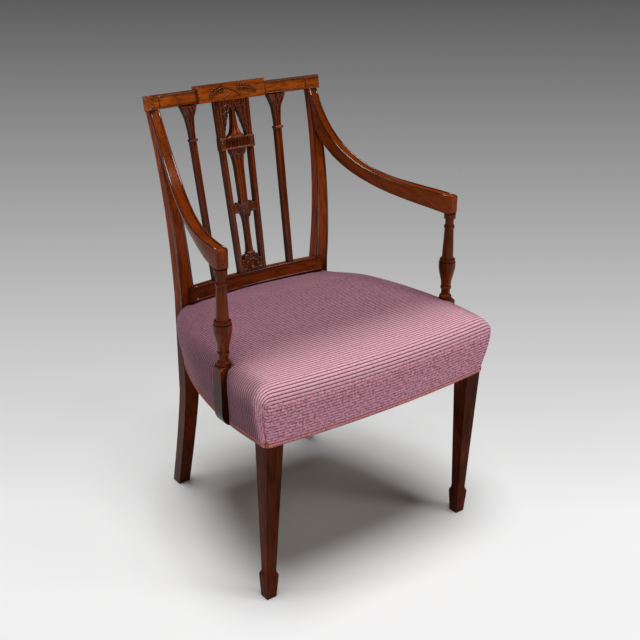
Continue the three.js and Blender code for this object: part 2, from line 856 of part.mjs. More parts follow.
function splat() {
  const head = panelHeight - tabletDrop - fit;
  const inner = (up) => splatHalfAt(up) - uprightWidth;
  const friezeTop = panelHeight * friezeTopShare;
  const friezeBottom = friezeTop - friezeHeight;
  const friezeHalf = splatHalfAt(friezeTop) + friezePast;
  const clusterMiddle = panelHeight * clusterShare;
  const upright = (side) =>
    splatMember(
      [
        [fit, uprightWidth / 2],
        [head, uprightWidth / 2],
      ],
      2,
      splatDepth,
      (up) => side * (splatHalfAt(up) - uprightWidth / 2),
    );
  const frieze = loft(
    [friezeBottom, friezeTop].map((up) => ({
      outline: reededSection(2 * (inner(friezeTop) + bite), splatDepth + friezeProud, fluteCount),
      frame: uprightFrame(0, -splatProud - friezeProud, up),
    })),
  );
  const fillet = (low) =>
    box(
      [-friezeHalf, friezeHalf],
      [-splatProud - friezeProud, splatBack],
      [low, low + filletHeight],
      backPlane,
    );
  const endBlock = (side) => {
    const reach = [inner(friezeTop), friezeHalf].map((x) => side * x);
    return box(
      [Math.min(...reach), Math.max(...reach)],
      [-splatProud - friezeProud, splatBack],
      [friezeBottom, friezeTop],
      backPlane,
    );
  };
  // The bottle over the frieze, with its collar, and the drapery that hangs on each side of it.
  const bottleRise = head - friezeTop;
  const bottleShares = [
    [-0.02, 5.6],
    [0.04, 3.6],
    [0.14, 2.2],
    [0.36, 1.35],
    [0.6, 1],
    [0.78, 1.1],
    [0.8, 1.8],
    [0.86, 1.8],
    [0.88, 1.3],
    [1, 1.5],
  ]; // share of the bottle's height, share of its neck's half-width
  const bottle = splatMember(
    bottleShares.map(([rise, spread]) => [friezeTop + bottleRise * rise, bottleNeck * spread]),
    1,
    splatDepth,
  );
  const drapeShares = [
    [0.02, 0.1],
    [0.16, 0.15],
    [0.37, 0.33],
    [0.575, 0.52],
    [0.77, 0.75],
    [1, 1],
  ]; // share of the bottle's height, share of the way from upright to bottle
  const drape = (side) => {
    const reach = (up) => inner(up) - bottleNeck;
    const stations = drapeShares.map(([rise, spread]) => {
      const up = friezeTop + bottleRise * rise;
      return [up, (reach(up) * spread + drapeEdge) / 2];
    });
    const middle = (up) => {
      const station = stations.find(([height]) => height === up);
      return side * (inner(up) + bite - station[1]);
    };
    return splatMember(stations, 3, splatDepth - drapeSunk, middle);
  };
  // The torch-like body under the frieze.
  const torchFootUp = clusterMiddle + clusterHalf - 2 * bite;
  const torchRise = friezeBottom + filletHeight / 2 - torchFootUp;
  const torchShares = [
    [0, 0],
    [0.35, 0.06],
    [0.65, 0.14],
    [0.82, 0.34],
    [0.93, 0.68],
    [1, 1],
  ]; // share of the torch's height, share of the way from foot to head half-width
  const torch = splatMember(
    torchShares.map(([rise, spread]) => [
      torchFootUp + torchRise * rise,
      torchFoot + (torchHead - torchFoot) * spread,
    ]),
    2,
    splatDepth,
  );
  const torchLeaves = 2; // on each side of the middle one
  const torchSpreadShare = 0.77; // of the torch's half-width, to the middle of the last leaf
  const torchLeafShare = 0.15; // by which each leaf is shorter than the one before it
  const torchTurn = THREE.MathUtils.degToRad(7);
  const cap = [];
  for (let i = -torchLeaves; i <= torchLeaves; i++) {
    const length = torchLeafLength * (1 - torchLeafShare * Math.abs(i));
    const x = (torchHead * torchSpreadShare * i) / torchLeaves;
    const up = friezeBottom + filletHeight / 3;
    cap.push(leaf(x, up, torchLeafHalf, length, Math.PI - i * torchTurn));
  }
  // The leaf cluster with its lugs, the slim stem and the half fan at the foot.
  const lug = box(
    [-inner(clusterMiddle) - bite, inner(clusterMiddle) + bite],
    [-splatProud + lugSunk, splatBack],
    [clusterMiddle - lugHeight / 2, clusterMiddle + lugHeight / 2],
    backPlane,
  );
  const cluster = [];
  const sideLeaves = 3; // on each side of the middle one, in the cluster and in the fan
  const clusterLeafShare = 0.055; // by which each leaf is shorter than the one before it
  const clusterTurn = THREE.MathUtils.degToRad(24);
  for (let i = -sideLeaves; i <= sideLeaves; i++) {
    const length = clusterLeafLength * (1 - clusterLeafShare * Math.abs(i));
    const up = clusterMiddle - clusterHalf / 2;
    cluster.push(leaf(0, up, clusterLeafHalf, length, i * clusterTurn));
  }
  const stemFoot = fanRadius + splatBase - leafRise;
  const stemRise = clusterMiddle - stemFoot;
  const stemShares = [
    [0, 1.3],
    [0.2, 1.02],
    [0.5, 0.95],
    [0.72, 1.05],
    [0.86, 1.35],
    [1, 1.6],
  ]; // share of the stem's height, share of its half-width
  const stem = splatMember(
    stemShares.map(([rise, spread]) => [stemFoot + stemRise * rise, stemHalf * spread]),
    1,
    splatDepth,
  );
  const fan = [];
  const fanTurn = THREE.MathUtils.degToRad(25.2);
  for (let i = -sideLeaves; i <= sideLeaves; i++) {
    const turn = i * fanTurn;
    const reach = Math.hypot(Math.sin(turn) * fanHalf, Math.cos(turn) * fanRadius);
    fan.push(leaf(0, splatBase, fanLeafHalf, reach, turn));
  }
  const base = box(
    [-inner(0) - bite, inner(0) + bite],
    [-splatProud, splatBack],
    [fit, splatBase + leafRise],
    backPlane,
  );
  return join(
    upright(1),
    upright(-1),
    frieze,
    fillet(friezeBottom),
    fillet(friezeTop - filletHeight),
    endBlock(1),
    endBlock(-1),
    bottle,
    drape(1),
    drape(-1),
    torch,
    ...cap,
    lug,
    ...cluster,
    stem,
    ...fan,
    base,
    splatTenons(0),
  );
}

// Arms

const armRoute = new THREE.CatmullRomCurve3(
  armRouteShares.map(
    ([run, spread, fall]) =>
      new THREE.Vector3(
        THREE.MathUtils.lerp(armHeadHalf, supportHalf, spread),
        THREE.MathUtils.lerp(armHeadLine, armTipLine, run),
        THREE.MathUtils.lerp(armHeadHeight, armHeight, fall),
      ),
  ),
);

function arm() {
  const steps = 18;
  const widenShares = [0, 0.4]; // from where to where along the arm each size changes
  const narrowShares = [0.7, 1];
  const waistShares = [0.2, 0.5];
  const swellShares = [0.45, 1];
  const reliefShares = [0.7, 0.97];
  const tipReliefShare = 0.05; // of the rounding below that is left at the tip
  const noseShares = { curve: 0.85, drop: 0.4, width: 0.5 }; // of the tip's rounding
  const { lerp, clamp, smoothstep } = THREE.MathUtils;
  const length = armRoute.getLength();
  const sections = [];
  const up = new THREE.Vector3(0, 0, 1);
  const noseSteps = 4;
  const places = [];
  for (let i = 0; i <= steps; i++) places.push((i / steps) * (1 - armNose / length));
  for (let i = 1; i <= noseSteps; i++) places.push(1 - (armNose / length) * (1 - i / noseSteps));
  for (const share of places) {
    const origin = armRoute.getPointAt(share);
    const along = armRoute.getTangentAt(share);
    const across = new THREE.Vector3().crossVectors(up, along).normalize();
    const out = new THREE.Vector3().crossVectors(along, across);
    const widen = smoothstep(share, ...widenShares);
    const narrow = smoothstep(share, ...narrowShares);
    const width = lerp(lerp(armHeadWidth, armWidth, widen), armTipWidth, narrow);
    const waist = smoothstep(share, ...waistShares);
    const swell = smoothstep(share, ...swellShares);
    const depth = lerp(lerp(armDepth, armWaistDepth, waist), armTipDepth, swell);
    const past = clamp(1 - (1 - share) * (length / armNose), 0, 1);
    const round = Math.sqrt(1 - (past * noseShares.curve) ** 2);
    origin.addScaledVector(out, (round - 1) * armNose * noseShares.drop);
    sections.push({
      outline: beadedSection(
        width * lerp(noseShares.width, 1, round),
        depth - (1 - round) * armNose,
        beadRadius,
        lerp(1, tipReliefShare, smoothstep(share, ...reliefShares)),
      ),
      frame: frameAt(origin, across, out),
    });
  }
  // The head of the route is carried straight on, to be cut to the crest.
  const first = sections[0];
  const above = first.frame.clone();
  const back = armRoute.getTangentAt(0).multiplyScalar(-armNose * 2);
  above.setPosition(new THREE.Vector3().setFromMatrixPosition(first.frame).add(back));
  sections.unshift({ outline: first.outline, frame: above });
  const mortise = supportTurning(fit);
  const behind = postClearance(overrun, overrun);
  return cut(loft(sections), behind, aboveCrest(), mortise, armScrewHole());
}

// Arm supports

const supportTop = armHeight - armTipDepth - fit;
const pommelTop = blockTop + (supportTop - blockTop) * turningShares.pommel;

// The turning above the block. A grown one clears the pin's hole.
function supportTurning(grow = 0) {
  const profile = [];
  let z = pommelTop;
  const step = (radius, share = 0) => {
    z += (supportTop - blockTop) * share;
    profile.push([radius + grow, z]);
  };
  const halfRound = (inner, outer, share) => {
    const turns = 3;
    const foot = z;
    const height = (supportTop - blockTop) * share;
    for (let i = 0; i <= turns; i++) {
      const turn = (Math.PI * i) / turns;
      const radius = inner + (outer - inner) * Math.sin(turn);
      profile.push([radius + grow, foot + (height * (1 - Math.cos(turn))) / 2]);
    }
    z = foot + height;
  };
  profile.push([0, blockTop - neckRadius]);
  profile.push([neckRadius, blockTop - neckRadius]);
  step(neckRadius);
  halfRound(domeRadius - bite, footRingRadius, turningShares.footRing);
  step(domeRadius);
  const domeShares = [
    [0.35, 0.95],
    [0.3, 0.62],
    [0.35, 0],
  ]; // share of the dome's height for each step, share of its spread left
  for (const [rise, left] of domeShares)
    step(neckRadius + (domeRadius - neckRadius) * left, turningShares.dome * rise);
  step(neckRadius, turningShares.neck);
  halfRound(neckRadius, lowRingRadius, turningShares.ring);
  step(vaseFootRadius);
  const vaseShares = [
    [0.2, 0.12],
    [0.22, 0.5],
    [0.24, 0.86],
    [0.14, 1],
    [0.2, 0.96],
  ]; // share of the vase's height for each step, share of its swelling
  for (const [rise, swelling] of vaseShares)
    step(vaseFootRadius + (vaseRadius - vaseFootRadius) * swelling, turningShares.vase * rise);
  halfRound(shoulderRadius - bite, shoulderRadius, turningShares.shoulder);
  step(shaftFootRadius);
  step(shaftHeadRadius, turningShares.shaft);
  halfRound(shaftHeadRadius, highRingRadius, turningShares.ring);
  step(collarNeckRadius);
  step(collarNeckRadius, turningShares.collarNeck);
  profile.push([capRadius, z]);
  profile.push([capRadius, supportTop]);
  profile.push([pinRadius + grow, supportTop]);
  profile.push([pinRadius + grow, supportTop + pinLength + grow]);
  profile.push([0, supportTop + pinLength + grow]);
  const placing = new THREE.Matrix4().makeTranslation(supportHalf, supportLine, 0);
  return turned(profile, turnedSides, placing);
}

// The square block, swept in at its foot to the underside of the rail, its corners turned off
// towards the ring above.
function supportBlock(grow = 0) {
  const outer = supportHalf + blockWidth / 2 + grow;
  const inner = supportLow - grow;
  const outline = new THREE.Shape();
  const toe = widestHalf + blockToe;
  outline.moveTo(inner, railBottom);
  outline.lineTo(toe + grow, railBottom);
  outline.quadraticCurveTo(outer, railBottom + blockSweep / 4, outer, railBottom + blockSweep);
  outline.lineTo(outer, pommelTop + grow);
  outline.lineTo(inner, pommelTop + grow);
  outline.closePath();
  const geometry = new THREE.ExtrudeGeometry(outline, {
    depth: blockDepth + 2 * grow,
    bevelEnabled: false,
    curveSegments: 6,
  });
  geometry.rotateX(Math.PI / 2);
  geometry.translate(0, supportBack + grow, 0);
  const corner = Math.hypot(blockWidth, blockDepth) / 2 + grow;
  const profile = [
    [0, railBottom - overrun],
    [corner + bite, railBottom - overrun],
    [corner + bite, blockTop + grow],
    [corner, blockTop + grow],
    [footRingRadius + grow, pommelTop + grow],
    [0, pommelTop + grow],
  ];
  const placing = new THREE.Matrix4().makeTranslation(supportHalf, supportLine, 0);
  return solidOf(geometry).intersect(turned(profile, 2 * turnedSides, placing));
}

// A straight clearance for the block, open below.
function supportBlockSpace() {
  return box(
    [supportLow - fit, supportHalf + blockWidth],
    [supportFront - fit, supportBack + fit],
    [railBottom - overrun, blockTop + overrun],
  );
}

function armSupport() {
  return cut(join(supportBlock(), supportTurning()), ...blockScrewPlaces.map(screwHole));
}

// Screws

// A countersunk screw that points along +Z from its head's face at the origin.
function screw() {
  const profile = [
    [0, 0],
    [screwHead, 0],
    [screwHead, screwHead * landShare],
    [screwShank, screwHead - screwShank + screwHead * landShare],
    [screwShank, screwLength - 2 * screwShank],
    [0, screwLength],
  ];
  const slot = box(
    [-screwHead - bite, screwHead + bite],
    [-slotWidth / 2, slotWidth / 2],
    [-slotDepth, slotDepth],
  );
  return cut(turned(profile, screwSides), slot);
}

// The hole of a screw at a place, its counterbore open behind the head.
function screwHole(placing) {
  const wide = screwHead + fit;
  const narrow = screwShank + fit;
  const profile = [
    [0, -overrun / 2],
    [wide, -overrun / 2],
    [wide, screwHead * landShare + fit],
    [narrow, screwHead - screwShank + screwHead * landShare + fit],
    [narrow, screwLength - screwShank],
    [0, screwLength + fit],
  ];
  return turned(profile, screwSides, placing);
}

// A place and a direction for a screw: its Z axis turned to point along the direction.
function screwPlace(x, y, z, direction) {
  const turn = new THREE.Quaternion().setFromUnitVectors(new THREE.Vector3(0, 0, 1), direction);
  return new THREE.Matrix4().compose(new THREE.Vector3(x, y, z), turn, new THREE.Vector3(1, 1, 1));
}

const outwards = new THREE.Vector3(1, 0, 0);
const forwards = new THREE.Vector3(0, -1, 0);
const backwards = new THREE.Vector3(0, 1, 0);

// Two from inside each side rail into the arm support's block.
const railInnerAtBlock = widestHalf - railThickness;
const blockScrewPlaces = blockScrewShares.map((share) => {
  const height = railBottom + railHeight * share;
  return screwPlace(railInnerAtBlock + screwSunk, supportLine, height, outwards);
});

// One from behind each post into the arm, under a plug of its own wood.
const armScrewHeight = stayTop + panelHeight * armScrewShare;
const armScrewPost = postAt(armScrewHeight);
const armScrewX = armScrewPost.outer - armScrewPost.width / 2;
const armScrewBack = armScrewPost.front + armScrewPost.depth;
const armScrewPlace = screwPlace(armScrewX, armScrewBack - plugDepth - fit, armScrewHeight, forwards);

function armScrewHole() {
  return screwHole(armScrewPlace);
}

function armPlug(grow = 0) {
  const profile = [
    [0, 0],
    [plugRadius + grow, 0],
    [plugRadius + grow, plugDepth + grow],
    [0, plugDepth + grow],
  ];
  const placing = screwPlace(armScrewX, armScrewBack - plugDepth, armScrewHeight, backwards);
  return turned(profile, turnedSides, placing);
}

// Corner blocks

// A three-sided block in the corner between two rails, its diagonal towards the seat's middle.
function cornerPrism(corner, reachX, reachY) {
  const plan = [
    corner,
    new THREE.Vector2(corner.x + reachX, corner.y),
    new THREE.Vector2(corner.x, corner.y + reachY),
  ];
  if (reachX * reachY < 0) plan.reverse();
  return prism(plan, cornerLow, cornerLow + cornerHeight);
}

function insideFrame() {
  return prism(seatPlan(-railThickness - 2 * fit), railBottom, railTop);
}

const frontCorner = new THREE.Vector2(frontHalf - fit, frontLine + fit);
const rearCorner = new THREE.Vector2(rearHalf + fit, backLine - backRailThickness - fit);
const cornerLow = railTop - cornerDrop - cornerHeight;

// A block's two screws: one across the end rail, one across the side rail, each so far from the
// corner along the other rail and with its head sunk so deep behind the diagonal face.
function cornerScrews(corner, reach, forward, [endRun, sideRun], sunk) {
  const [lower, upper] = cornerScrewShares.map((share) => cornerLow + cornerHeight * share);
  const inwards = forward ? 1 : -1;
  const endDepth = reach - endRun - sunk;
  const sideDepth = reach - sideRun - sunk;
  const across = forward ? forwards : backwards;
  return [
    screwPlace(corner.x - endRun, corner.y + inwards * endDepth, lower, across),
    screwPlace(corner.x - sideDepth, corner.y + inwards * sideRun, upper, outwards),
  ];
}

const frontCornerScrews = cornerScrews(
  frontCorner,
  frontBlockReach,
  true,
  [cornerScrewRun, cornerScrewRun],
  screwSunk,
);
const rearCornerScrews = cornerScrews(
  rearCorner,
  rearBlockReach,
  false,
  [backScrewRun, sideScrewRun],
  rearScrewSunk,
);

function legClearance() {
  return box(
    [legInner - fit, frontHalf + overrun],
    [frontLine - overrun, legBack + fit],
    [railBottom - overrun, railTop + overrun],
  );
}

function frontCornerBlock() {
  const block = cornerPrism(frontCorner, -frontBlockReach, frontBlockReach);
  return cut(block.intersect(insideFrame()), legClearance(), ...frontCornerScrews.map(screwHole));
}

function rearCornerBlock() {
  const block = cornerPrism(rearCorner, -rearBlockReach, -rearBlockReach);
  const postSpace = box(
    [postInner - fit, postOuter + overrun],
    [postLine - fit, backLine + overrun],
    [railBottom - overrun, railTop + overrun],
  );
  return cut(block.intersect(insideFrame()), postSpace, ...rearCornerScrews.map(screwHole));
}

// Webbing

// A strap woven over and under those that cross it, from one end to the other along X.
function strap(from, to, crossings, firstOver) {
  const levels = [[from, webLow]];
  crossings.forEach((middle, i) => {
    const level = (i % 2 === 0) === firstOver ? webHigh : webLow;
    levels.push([middle - webWidth / 2 - fit * 2, level], [middle + webWidth / 2 + fit * 2, level]);
  });
  levels.push([to, webLow]);
  const lower = [];
  levels.forEach(([place, level], i) => {
    const before = levels[i - 1];
    const flat = before && before[1] === level;
    if (i === 1 && !flat) lower.push(new THREE.Vector2(place - webRamp, webLow));
    if (i === levels.length - 1 && !flat) lower.push(new THREE.Vector2(before[0] + webRamp, webLow));
    lower.push(new THREE.Vector2(place, level));
  });
  const upper = lower.map((p) => new THREE.Vector2(p.x, p.y + webThickness)).reverse();
  const geometry = new THREE.ExtrudeGeometry(new THREE.Shape([...lower, ...upper]), {
    depth: webWidth,
    bevelEnabled: false,
  });
  geometry.rotateX(Math.PI / 2);
  geometry.translate(0, webWidth / 2, 0);
  return geometry;
}

function evenly(count, from, to) {
  return Array.from({ length: count }, (_, i) => from + ((to - from) * i) / (count - 1));
}

const outerWeb = postInner - 4 * fit - webWidth / 2;
const alongPlaces = evenly(websAlong, -outerWeb, outerWeb);
const acrossPlaces = evenly(websAcross, legBack + webWidth, postLine - webWidth);

function acrossStraps() {
  return acrossPlaces.map((y, row) => {
    const half = Math.min(sideHalfAt(y - webWidth / 2), sideHalfAt(y + webWidth / 2)) - webMargin;
    const geometry = strap(-half, half, alongPlaces, row % 2 === 0);
    geometry.translate(0, y, 0);
    return solidOf(geometry);
  });
}

function alongStraps() {
  const low = frontLineAt(frontHalf) + webMargin;
  const high = backLine - webMargin / 2;
  return alongPlaces.map((x, column) => {
    const geometry = strap(low, high, acrossPlaces, column % 2 !== 0);
    geometry.rotateZ(Math.PI / 2);
    geometry.translate(x, 0, 0);
    return solidOf(geometry);
  });
}

// The space of the posts above and behind the seat, cut from cloth and stuffing.
function postCorner(gap) {
  return box(
    [postInner - gap, postOuter + overrun],
    [postLine - gap, backLine + overrun],
    [railBottom - overrun, stayTop + overrun],
  );
}

function hessian() {
  const sheet = prism(seatPlan(-hessianMargin), hessianBottom, hessianBottom + hessianThickness);
  const corner = postCorner(fit);
  return cut(sheet, corner, mirrored(corner), supportBlockSpace(), mirrored(supportBlockSpace()));
}

// Seat

// The stuffed form, its surface moved inwards by a distance; its foot can be carried down.
function seatForm(inset, footDrop = 0) {
  const wallShares = [
    [seatLift / (seatEdgeHeight - railBottom), 0],
    [0.3, 0.42],
    [0.56, 0.86],
    [0.72, 1],
  ]; // share of the height from foot to top, share of the swell
  const wallTop = seatEdgeHeight - inset;
  const levels = [
    { out: clothOut - inset, z: railBottom - footDrop },
    ...wallShares.map(([rise, swell]) => ({
      out: clothOut + seatSwell * swell - inset,
      z: railBottom + (seatEdgeHeight - railBottom) * rise,
      round: cornerRound * (1 + swell / 2) + (swell ? 0 : clothOut - inset),
    })),
  ];
  const roundSteps = 3;
  const roundFoot = levels.at(-1);
  const rise = wallTop - roundFoot.z;
  for (let i = 1; i <= roundSteps; i++) {
    const turn = (Math.PI / 2) * (i / roundSteps);
    levels.push({
      out: roundFoot.out - (seatRound - inset) * (1 - Math.cos(turn)),
      z: roundFoot.z + rise * Math.sin(turn),
      round: roundFoot.round + (seatRound / 2) * (1 - Math.cos(turn)),
    });
  }
  const fallen = (x, y, z) => {
    const raised = Math.max(0, z - railBottom) / (seatEdgeHeight - railBottom);
    const fall = seatFall * THREE.MathUtils.smoothstep(y, postLine - seatFallRun, postLine);
    return new THREE.Vector3(x, y, z - fall * raised);
  };
  const rings = levels.map(({ out, z, round }) =>
    seatPlan(out, round).map((p) => fallen(p.x, p.y, z)),
  );
  const rim = seatPlan(levels.at(-1).out, levels.at(-1).round);
  const centre = (frontLine + backLine) / 2;
  for (const left of crownRingShares) {
    const crown = wallTop + seatCrown * (1 - left ** crownPowerShare);
    rings.push(rim.map((p) => fallen(p.x * left, centre + (p.y - centre) * left, crown)));
  }
  return ringStack(rings, fallen(0, centre, wallTop + seatCrown));
}

// A closed skin over level rings, flat below and drawn to a point above.
function ringStack(rings, peak) {
  const count = rings[0].length;
  const positions = rings.flat().flatMap((p) => [...p]);
  positions.push(...peak);
  const index = [];
  for (let row = 0; row + 1 < rings.length; row++)
    for (let i = 0; i < count; i++) {
      const near = row * count + i;
      const next = row * count + ((i + 1) % count);
      index.push(near, next, next + count, near, next + count, near + count);
    }
  const last = (rings.length - 1) * count;
  for (let i = 0; i < count; i++) index.push(last + i, last + ((i + 1) % count), rings.length * count);
  const flat = rings[0].map((p) => new THREE.Vector2(p.x, p.y));
  for (const [a, b, c] of THREE.ShapeUtils.triangulateShape(flat, [])) index.push(c, b, a);
  const geometry = new THREE.BufferGeometry();
  geometry.setAttribute("position", new THREE.Float32BufferAttribute(positions, 3));
  geometry.setIndex(index);
  return solidOf(geometry);
}

// What stands in the way of cloth and stuffing: posts, arm supports and the stay rail.
function seatObstacles(gap) {
  const sides = [postCorner(gap), supportBlockSpace()];
  return [...sides, ...sides.map(mirrored), stayRail(gap)];
}

function seatCover() {
  return cut(seatForm(0), seatForm(clothThickness, overrun), ...seatObstacles(fit));
}

function stuffing() {
  const frameSpace = prism(seatPlan(fit), railBottom - overrun, stuffingBottom);
  const floor = railBottom + stuffingHem;
  const reach = widestHalf + overrun;
  const below = box([-reach, reach], [-reach, reach], [railBottom - overrun, floor]);
  return cut(seatForm(clothThickness + fit), frameSpace, below, ...seatObstacles(fit * 2));
}

// Braid along the lower edge of the cloth

function braidRing() {
  const inner = clothOut + fit;
  return cut(
    prism(seatPlan(inner + braidThickness), railBottom, railBottom + braidHeight),
    prism(seatPlan(inner), railBottom - overrun, railBottom + braidHeight + overrun),
  );
}

function braidBetween(x, y) {
  return braidRing().intersect(box(x, y, [railBottom - overrun, railTop]));
}

function frontBraid() {
  const reach = widestHalf + overrun;
  return braidBetween([-reach, reach], [frontLine - overrun, supportFront - 2 * fit]);
}

function sideBraid() {
  return braidBetween([0, widestHalf + overrun], [supportBack + 2 * fit, postLine - 2 * fit]);
}

function backBraid() {
  const half = postInner - 2 * fit;
  return braidBetween([-half, half], [backLine - fit, backLine + overrun]);
}

// Assembly

const looks = {
  mahogany: { color: 0x5a2412, roughness: 0.35, metalness: 0 },
  beech: { color: 0xb08a5e, roughness: 0.75, metalness: 0 },
  steel: { color: 0x8b8a86, roughness: 0.45, metalness: 0.9 },
  webbing: { color: 0xb9a687, roughness: 0.95, metalness: 0 },
  hessian: { color: 0xa48a62, roughness: 0.95, metalness: 0 },
  hair: { color: 0x4b4038, roughness: 1, metalness: 0 },
  cloth: { color: 0x8d6672, roughness: 0.9, metalness: 0 },
  braid: { color: 0x8c4f38, roughness: 0.8, metalness: 0 },
};

const chair = new THREE.Group();
const rightSide = new THREE.Group();
const leftSide = new THREE.Group();
leftSide.scale.x = -1;
chair.add(rightSide, leftSide);

function add(name, solid, look, parent = chair) {
  const mesh = new THREE.Mesh(geometryOf(solid), new THREE.MeshStandardMaterial(looks[look]));
  mesh.name = name;
  parent.add(mesh);
  return mesh;
}

// The same piece on the right and, mirrored, on the left.
function addPair(name, solid, look) {
  add(`${name}_right`, solid, look, rightSide);
  add(`${name}_left`, solid, look, leftSide);
}

// A screw at a place on each side.
function addScrews(name, places) {
  places.forEach((placing, i) => {
    const number = places.length > 1 ? `_${i + 1}` : "";
    for (const [side, parent] of [
      ["right", rightSide],
      ["left", leftSide],
    ]) {
      const mesh = add(`${name}${number}_${side}`, screw(), "steel", parent);
      mesh.applyMatrix4(placing);
    }
  });
}

addPair(
  "back_post",
  cut(
    backPost(),
    sideRailRearTenon(fit),
    backRailTenon(fit),
    stayTenon(fit),
    armScrewHole(),
    armPlug(fit),
  ),
  "mahogany",
);
addPair("front_leg", cut(frontLeg(), frontRailTenon(fit), sideRailFrontTenon(fit)), "mahogany");
const crestMortises = [postTopTenon(fit), barTenons(fit)];
add(
  "crest_rail",
  cut(crestRail(), ...crestMortises, ...crestMortises.map(mirrored), splatTenons(fit)),
  "mahogany",
);
const stayBody = cut(
  stayRail(),
  postClearance(),
  mirrored(postClearance()),
  barTenons(fit),
  mirrored(barTenons(fit)),
  splatTenons(fit),
);
add("stay_rail", join(stayBody, stayTenon(0), mirrored(stayTenon(0))), "mahogany");
add("splat", splat(), "mahogany");
addPair("back_bar", backBar(), "mahogany");
addPair("arm", arm(), "mahogany");
addPair("arm_support", armSupport(), "mahogany");
addPair("arm_plug", armPlug(), "mahogany");

add("front_rail", cut(frontRail(), ...bothSides(frontCornerScrews.map(screwHole))), "beech");
add("back_rail", cut(backRail(), ...bothSides(rearCornerScrews.map(screwHole))), "beech");
const sideScrews = [...blockScrewPlaces, ...frontCornerScrews, ...rearCornerScrews];
addPair("side_rail", cut(sideRail(), supportBlock(fit), ...sideScrews.map(screwHole)), "beech");
addPair("front_corner_block", frontCornerBlock(), "beech");
addPair("rear_corner_block", rearCornerBlock(), "beech");

function bothSides(solids) {
  return [...solids, ...solids.map(mirrored)];
}

addScrews("arm_screw", [armScrewPlace]);
addScrews("support_screw", blockScrewPlaces);
addScrews("front_block_screw", frontCornerScrews);
addScrews("rear_block_screw", rearCornerScrews);

acrossStraps().forEach((solid, i) => add(`webbing_across_${i + 1}`, solid, "webbing"));
alongStraps().forEach((solid, i) => add(`webbing_along_${i + 1}`, solid, "webbing"));
add("hessian", hessian(), "hessian");
add("stuffing", stuffing(), "hair");
add("seat_cover", seatCover(), "cloth");
add("braid_front", frontBraid(), "braid");
addPair("braid_side", sideBraid(), "braid");
add("braid_back", backBraid(), "braid");

// The origin stands on the floor under the middle of the chair.
const middle = new THREE.Box3().setFromObject(chair).getCenter(new THREE.Vector3());
chair.position.set(-middle.x, -middle.y, 0);

export default chair;
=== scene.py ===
# Looks of the square-backed open armchair: polished mahogany, a stuffed seat in ribbed cloth with a
# pleat at each front corner, gimp braid along its lower edge, webbing and hessian underneath.
import math

import bmesh
import bpy
import numpy as np
from mathutils import Matrix, Vector
from mathutils.bvhtree import BVHTree


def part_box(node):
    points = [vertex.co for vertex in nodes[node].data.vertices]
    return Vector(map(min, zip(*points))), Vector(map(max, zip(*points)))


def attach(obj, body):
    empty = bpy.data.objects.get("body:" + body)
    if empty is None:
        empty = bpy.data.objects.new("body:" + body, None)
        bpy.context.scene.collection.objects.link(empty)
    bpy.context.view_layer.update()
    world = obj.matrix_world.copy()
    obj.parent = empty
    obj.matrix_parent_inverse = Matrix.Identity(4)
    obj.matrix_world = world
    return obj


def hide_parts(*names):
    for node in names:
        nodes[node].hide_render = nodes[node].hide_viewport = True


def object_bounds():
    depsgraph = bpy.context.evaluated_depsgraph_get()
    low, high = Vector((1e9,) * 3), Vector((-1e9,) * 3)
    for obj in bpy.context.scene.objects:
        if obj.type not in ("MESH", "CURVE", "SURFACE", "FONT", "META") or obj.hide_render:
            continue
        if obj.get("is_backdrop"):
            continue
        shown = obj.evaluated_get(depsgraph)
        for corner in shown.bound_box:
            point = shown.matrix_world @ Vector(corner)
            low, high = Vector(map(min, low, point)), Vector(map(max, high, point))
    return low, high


for old in ("Cube", "Light", "Camera"):
    if old in bpy.data.objects:
        bpy.data.objects.remove(bpy.data.objects[old])
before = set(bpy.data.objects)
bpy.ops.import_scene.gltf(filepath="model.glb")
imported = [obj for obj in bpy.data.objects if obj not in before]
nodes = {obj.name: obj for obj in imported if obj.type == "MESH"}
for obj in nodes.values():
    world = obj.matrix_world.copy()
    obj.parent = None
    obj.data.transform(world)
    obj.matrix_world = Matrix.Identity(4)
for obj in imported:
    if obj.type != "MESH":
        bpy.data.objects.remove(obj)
cad_low, cad_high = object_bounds()

# Plans are drawn in millimetres, with y measured as in the chair's own drawing.
BACK_LINE = 210.0
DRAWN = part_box("back_rail")[1].y * 1000 - BACK_LINE


def place(points):
    """Millimetres of the drawing to metres in the frame."""
    p = np.array(points, float).reshape(-1, 3)
    p[:, 1] += DRAWN
    return p / 1000


def box_mm(name):
    low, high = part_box(name)
    off = np.array([0, DRAWN, 0])
    return np.array(low) * 1000 - off, np.array(high) * 1000 - off


def add_object(name, data):
    obj = bpy.data.objects.new(name, data)
    bpy.context.scene.collection.objects.link(obj)
    return obj


def mesh_object(name, points, faces):
    mesh = bpy.data.meshes.new(name)
    mesh.from_pydata([tuple(p) for p in place(points)], [], [tuple(map(int, f)) for f in faces])
    mesh.polygons.foreach_set("use_smooth", [True] * len(mesh.polygons))
    mesh.update()
    return add_object(name, mesh)


def finish_piece(obj, material, slot, *replaced):
    obj.data.materials.append(material)
    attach(obj, "root")
    if replaced:
        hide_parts(*replaced)
    return obj


def write_uv(obj, uv):
    layer = obj.data.uv_layers.new(name="cords")
    loops = np.zeros(len(obj.data.loops), np.int32)
    obj.data.loops.foreach_get("vertex_index", loops)
    layer.data.foreach_set("uv", np.asarray(uv, np.float32)[loops].ravel())


def write_painted_shading(obj, level):
    """How far each place lies below its surroundings, for the wood to paint shade where it is
    positive and a highlight where it is negative.
    """
    layer = obj.data.attributes.new("sunk", "FLOAT", "POINT")
    layer.data.foreach_set("value", level.astype(np.float32))


def grid_faces(rows, cols, start=0, closed=False, skip=None):
    faces = []
    for j in range(rows - 1):
        for i in range(cols if closed else cols - 1):
            if not (skip and skip(j, i)):
                a, b = start + j * cols + i, start + j * cols + (i + 1) % cols
                faces.append((a, b, b + cols, a + cols))
    return faces


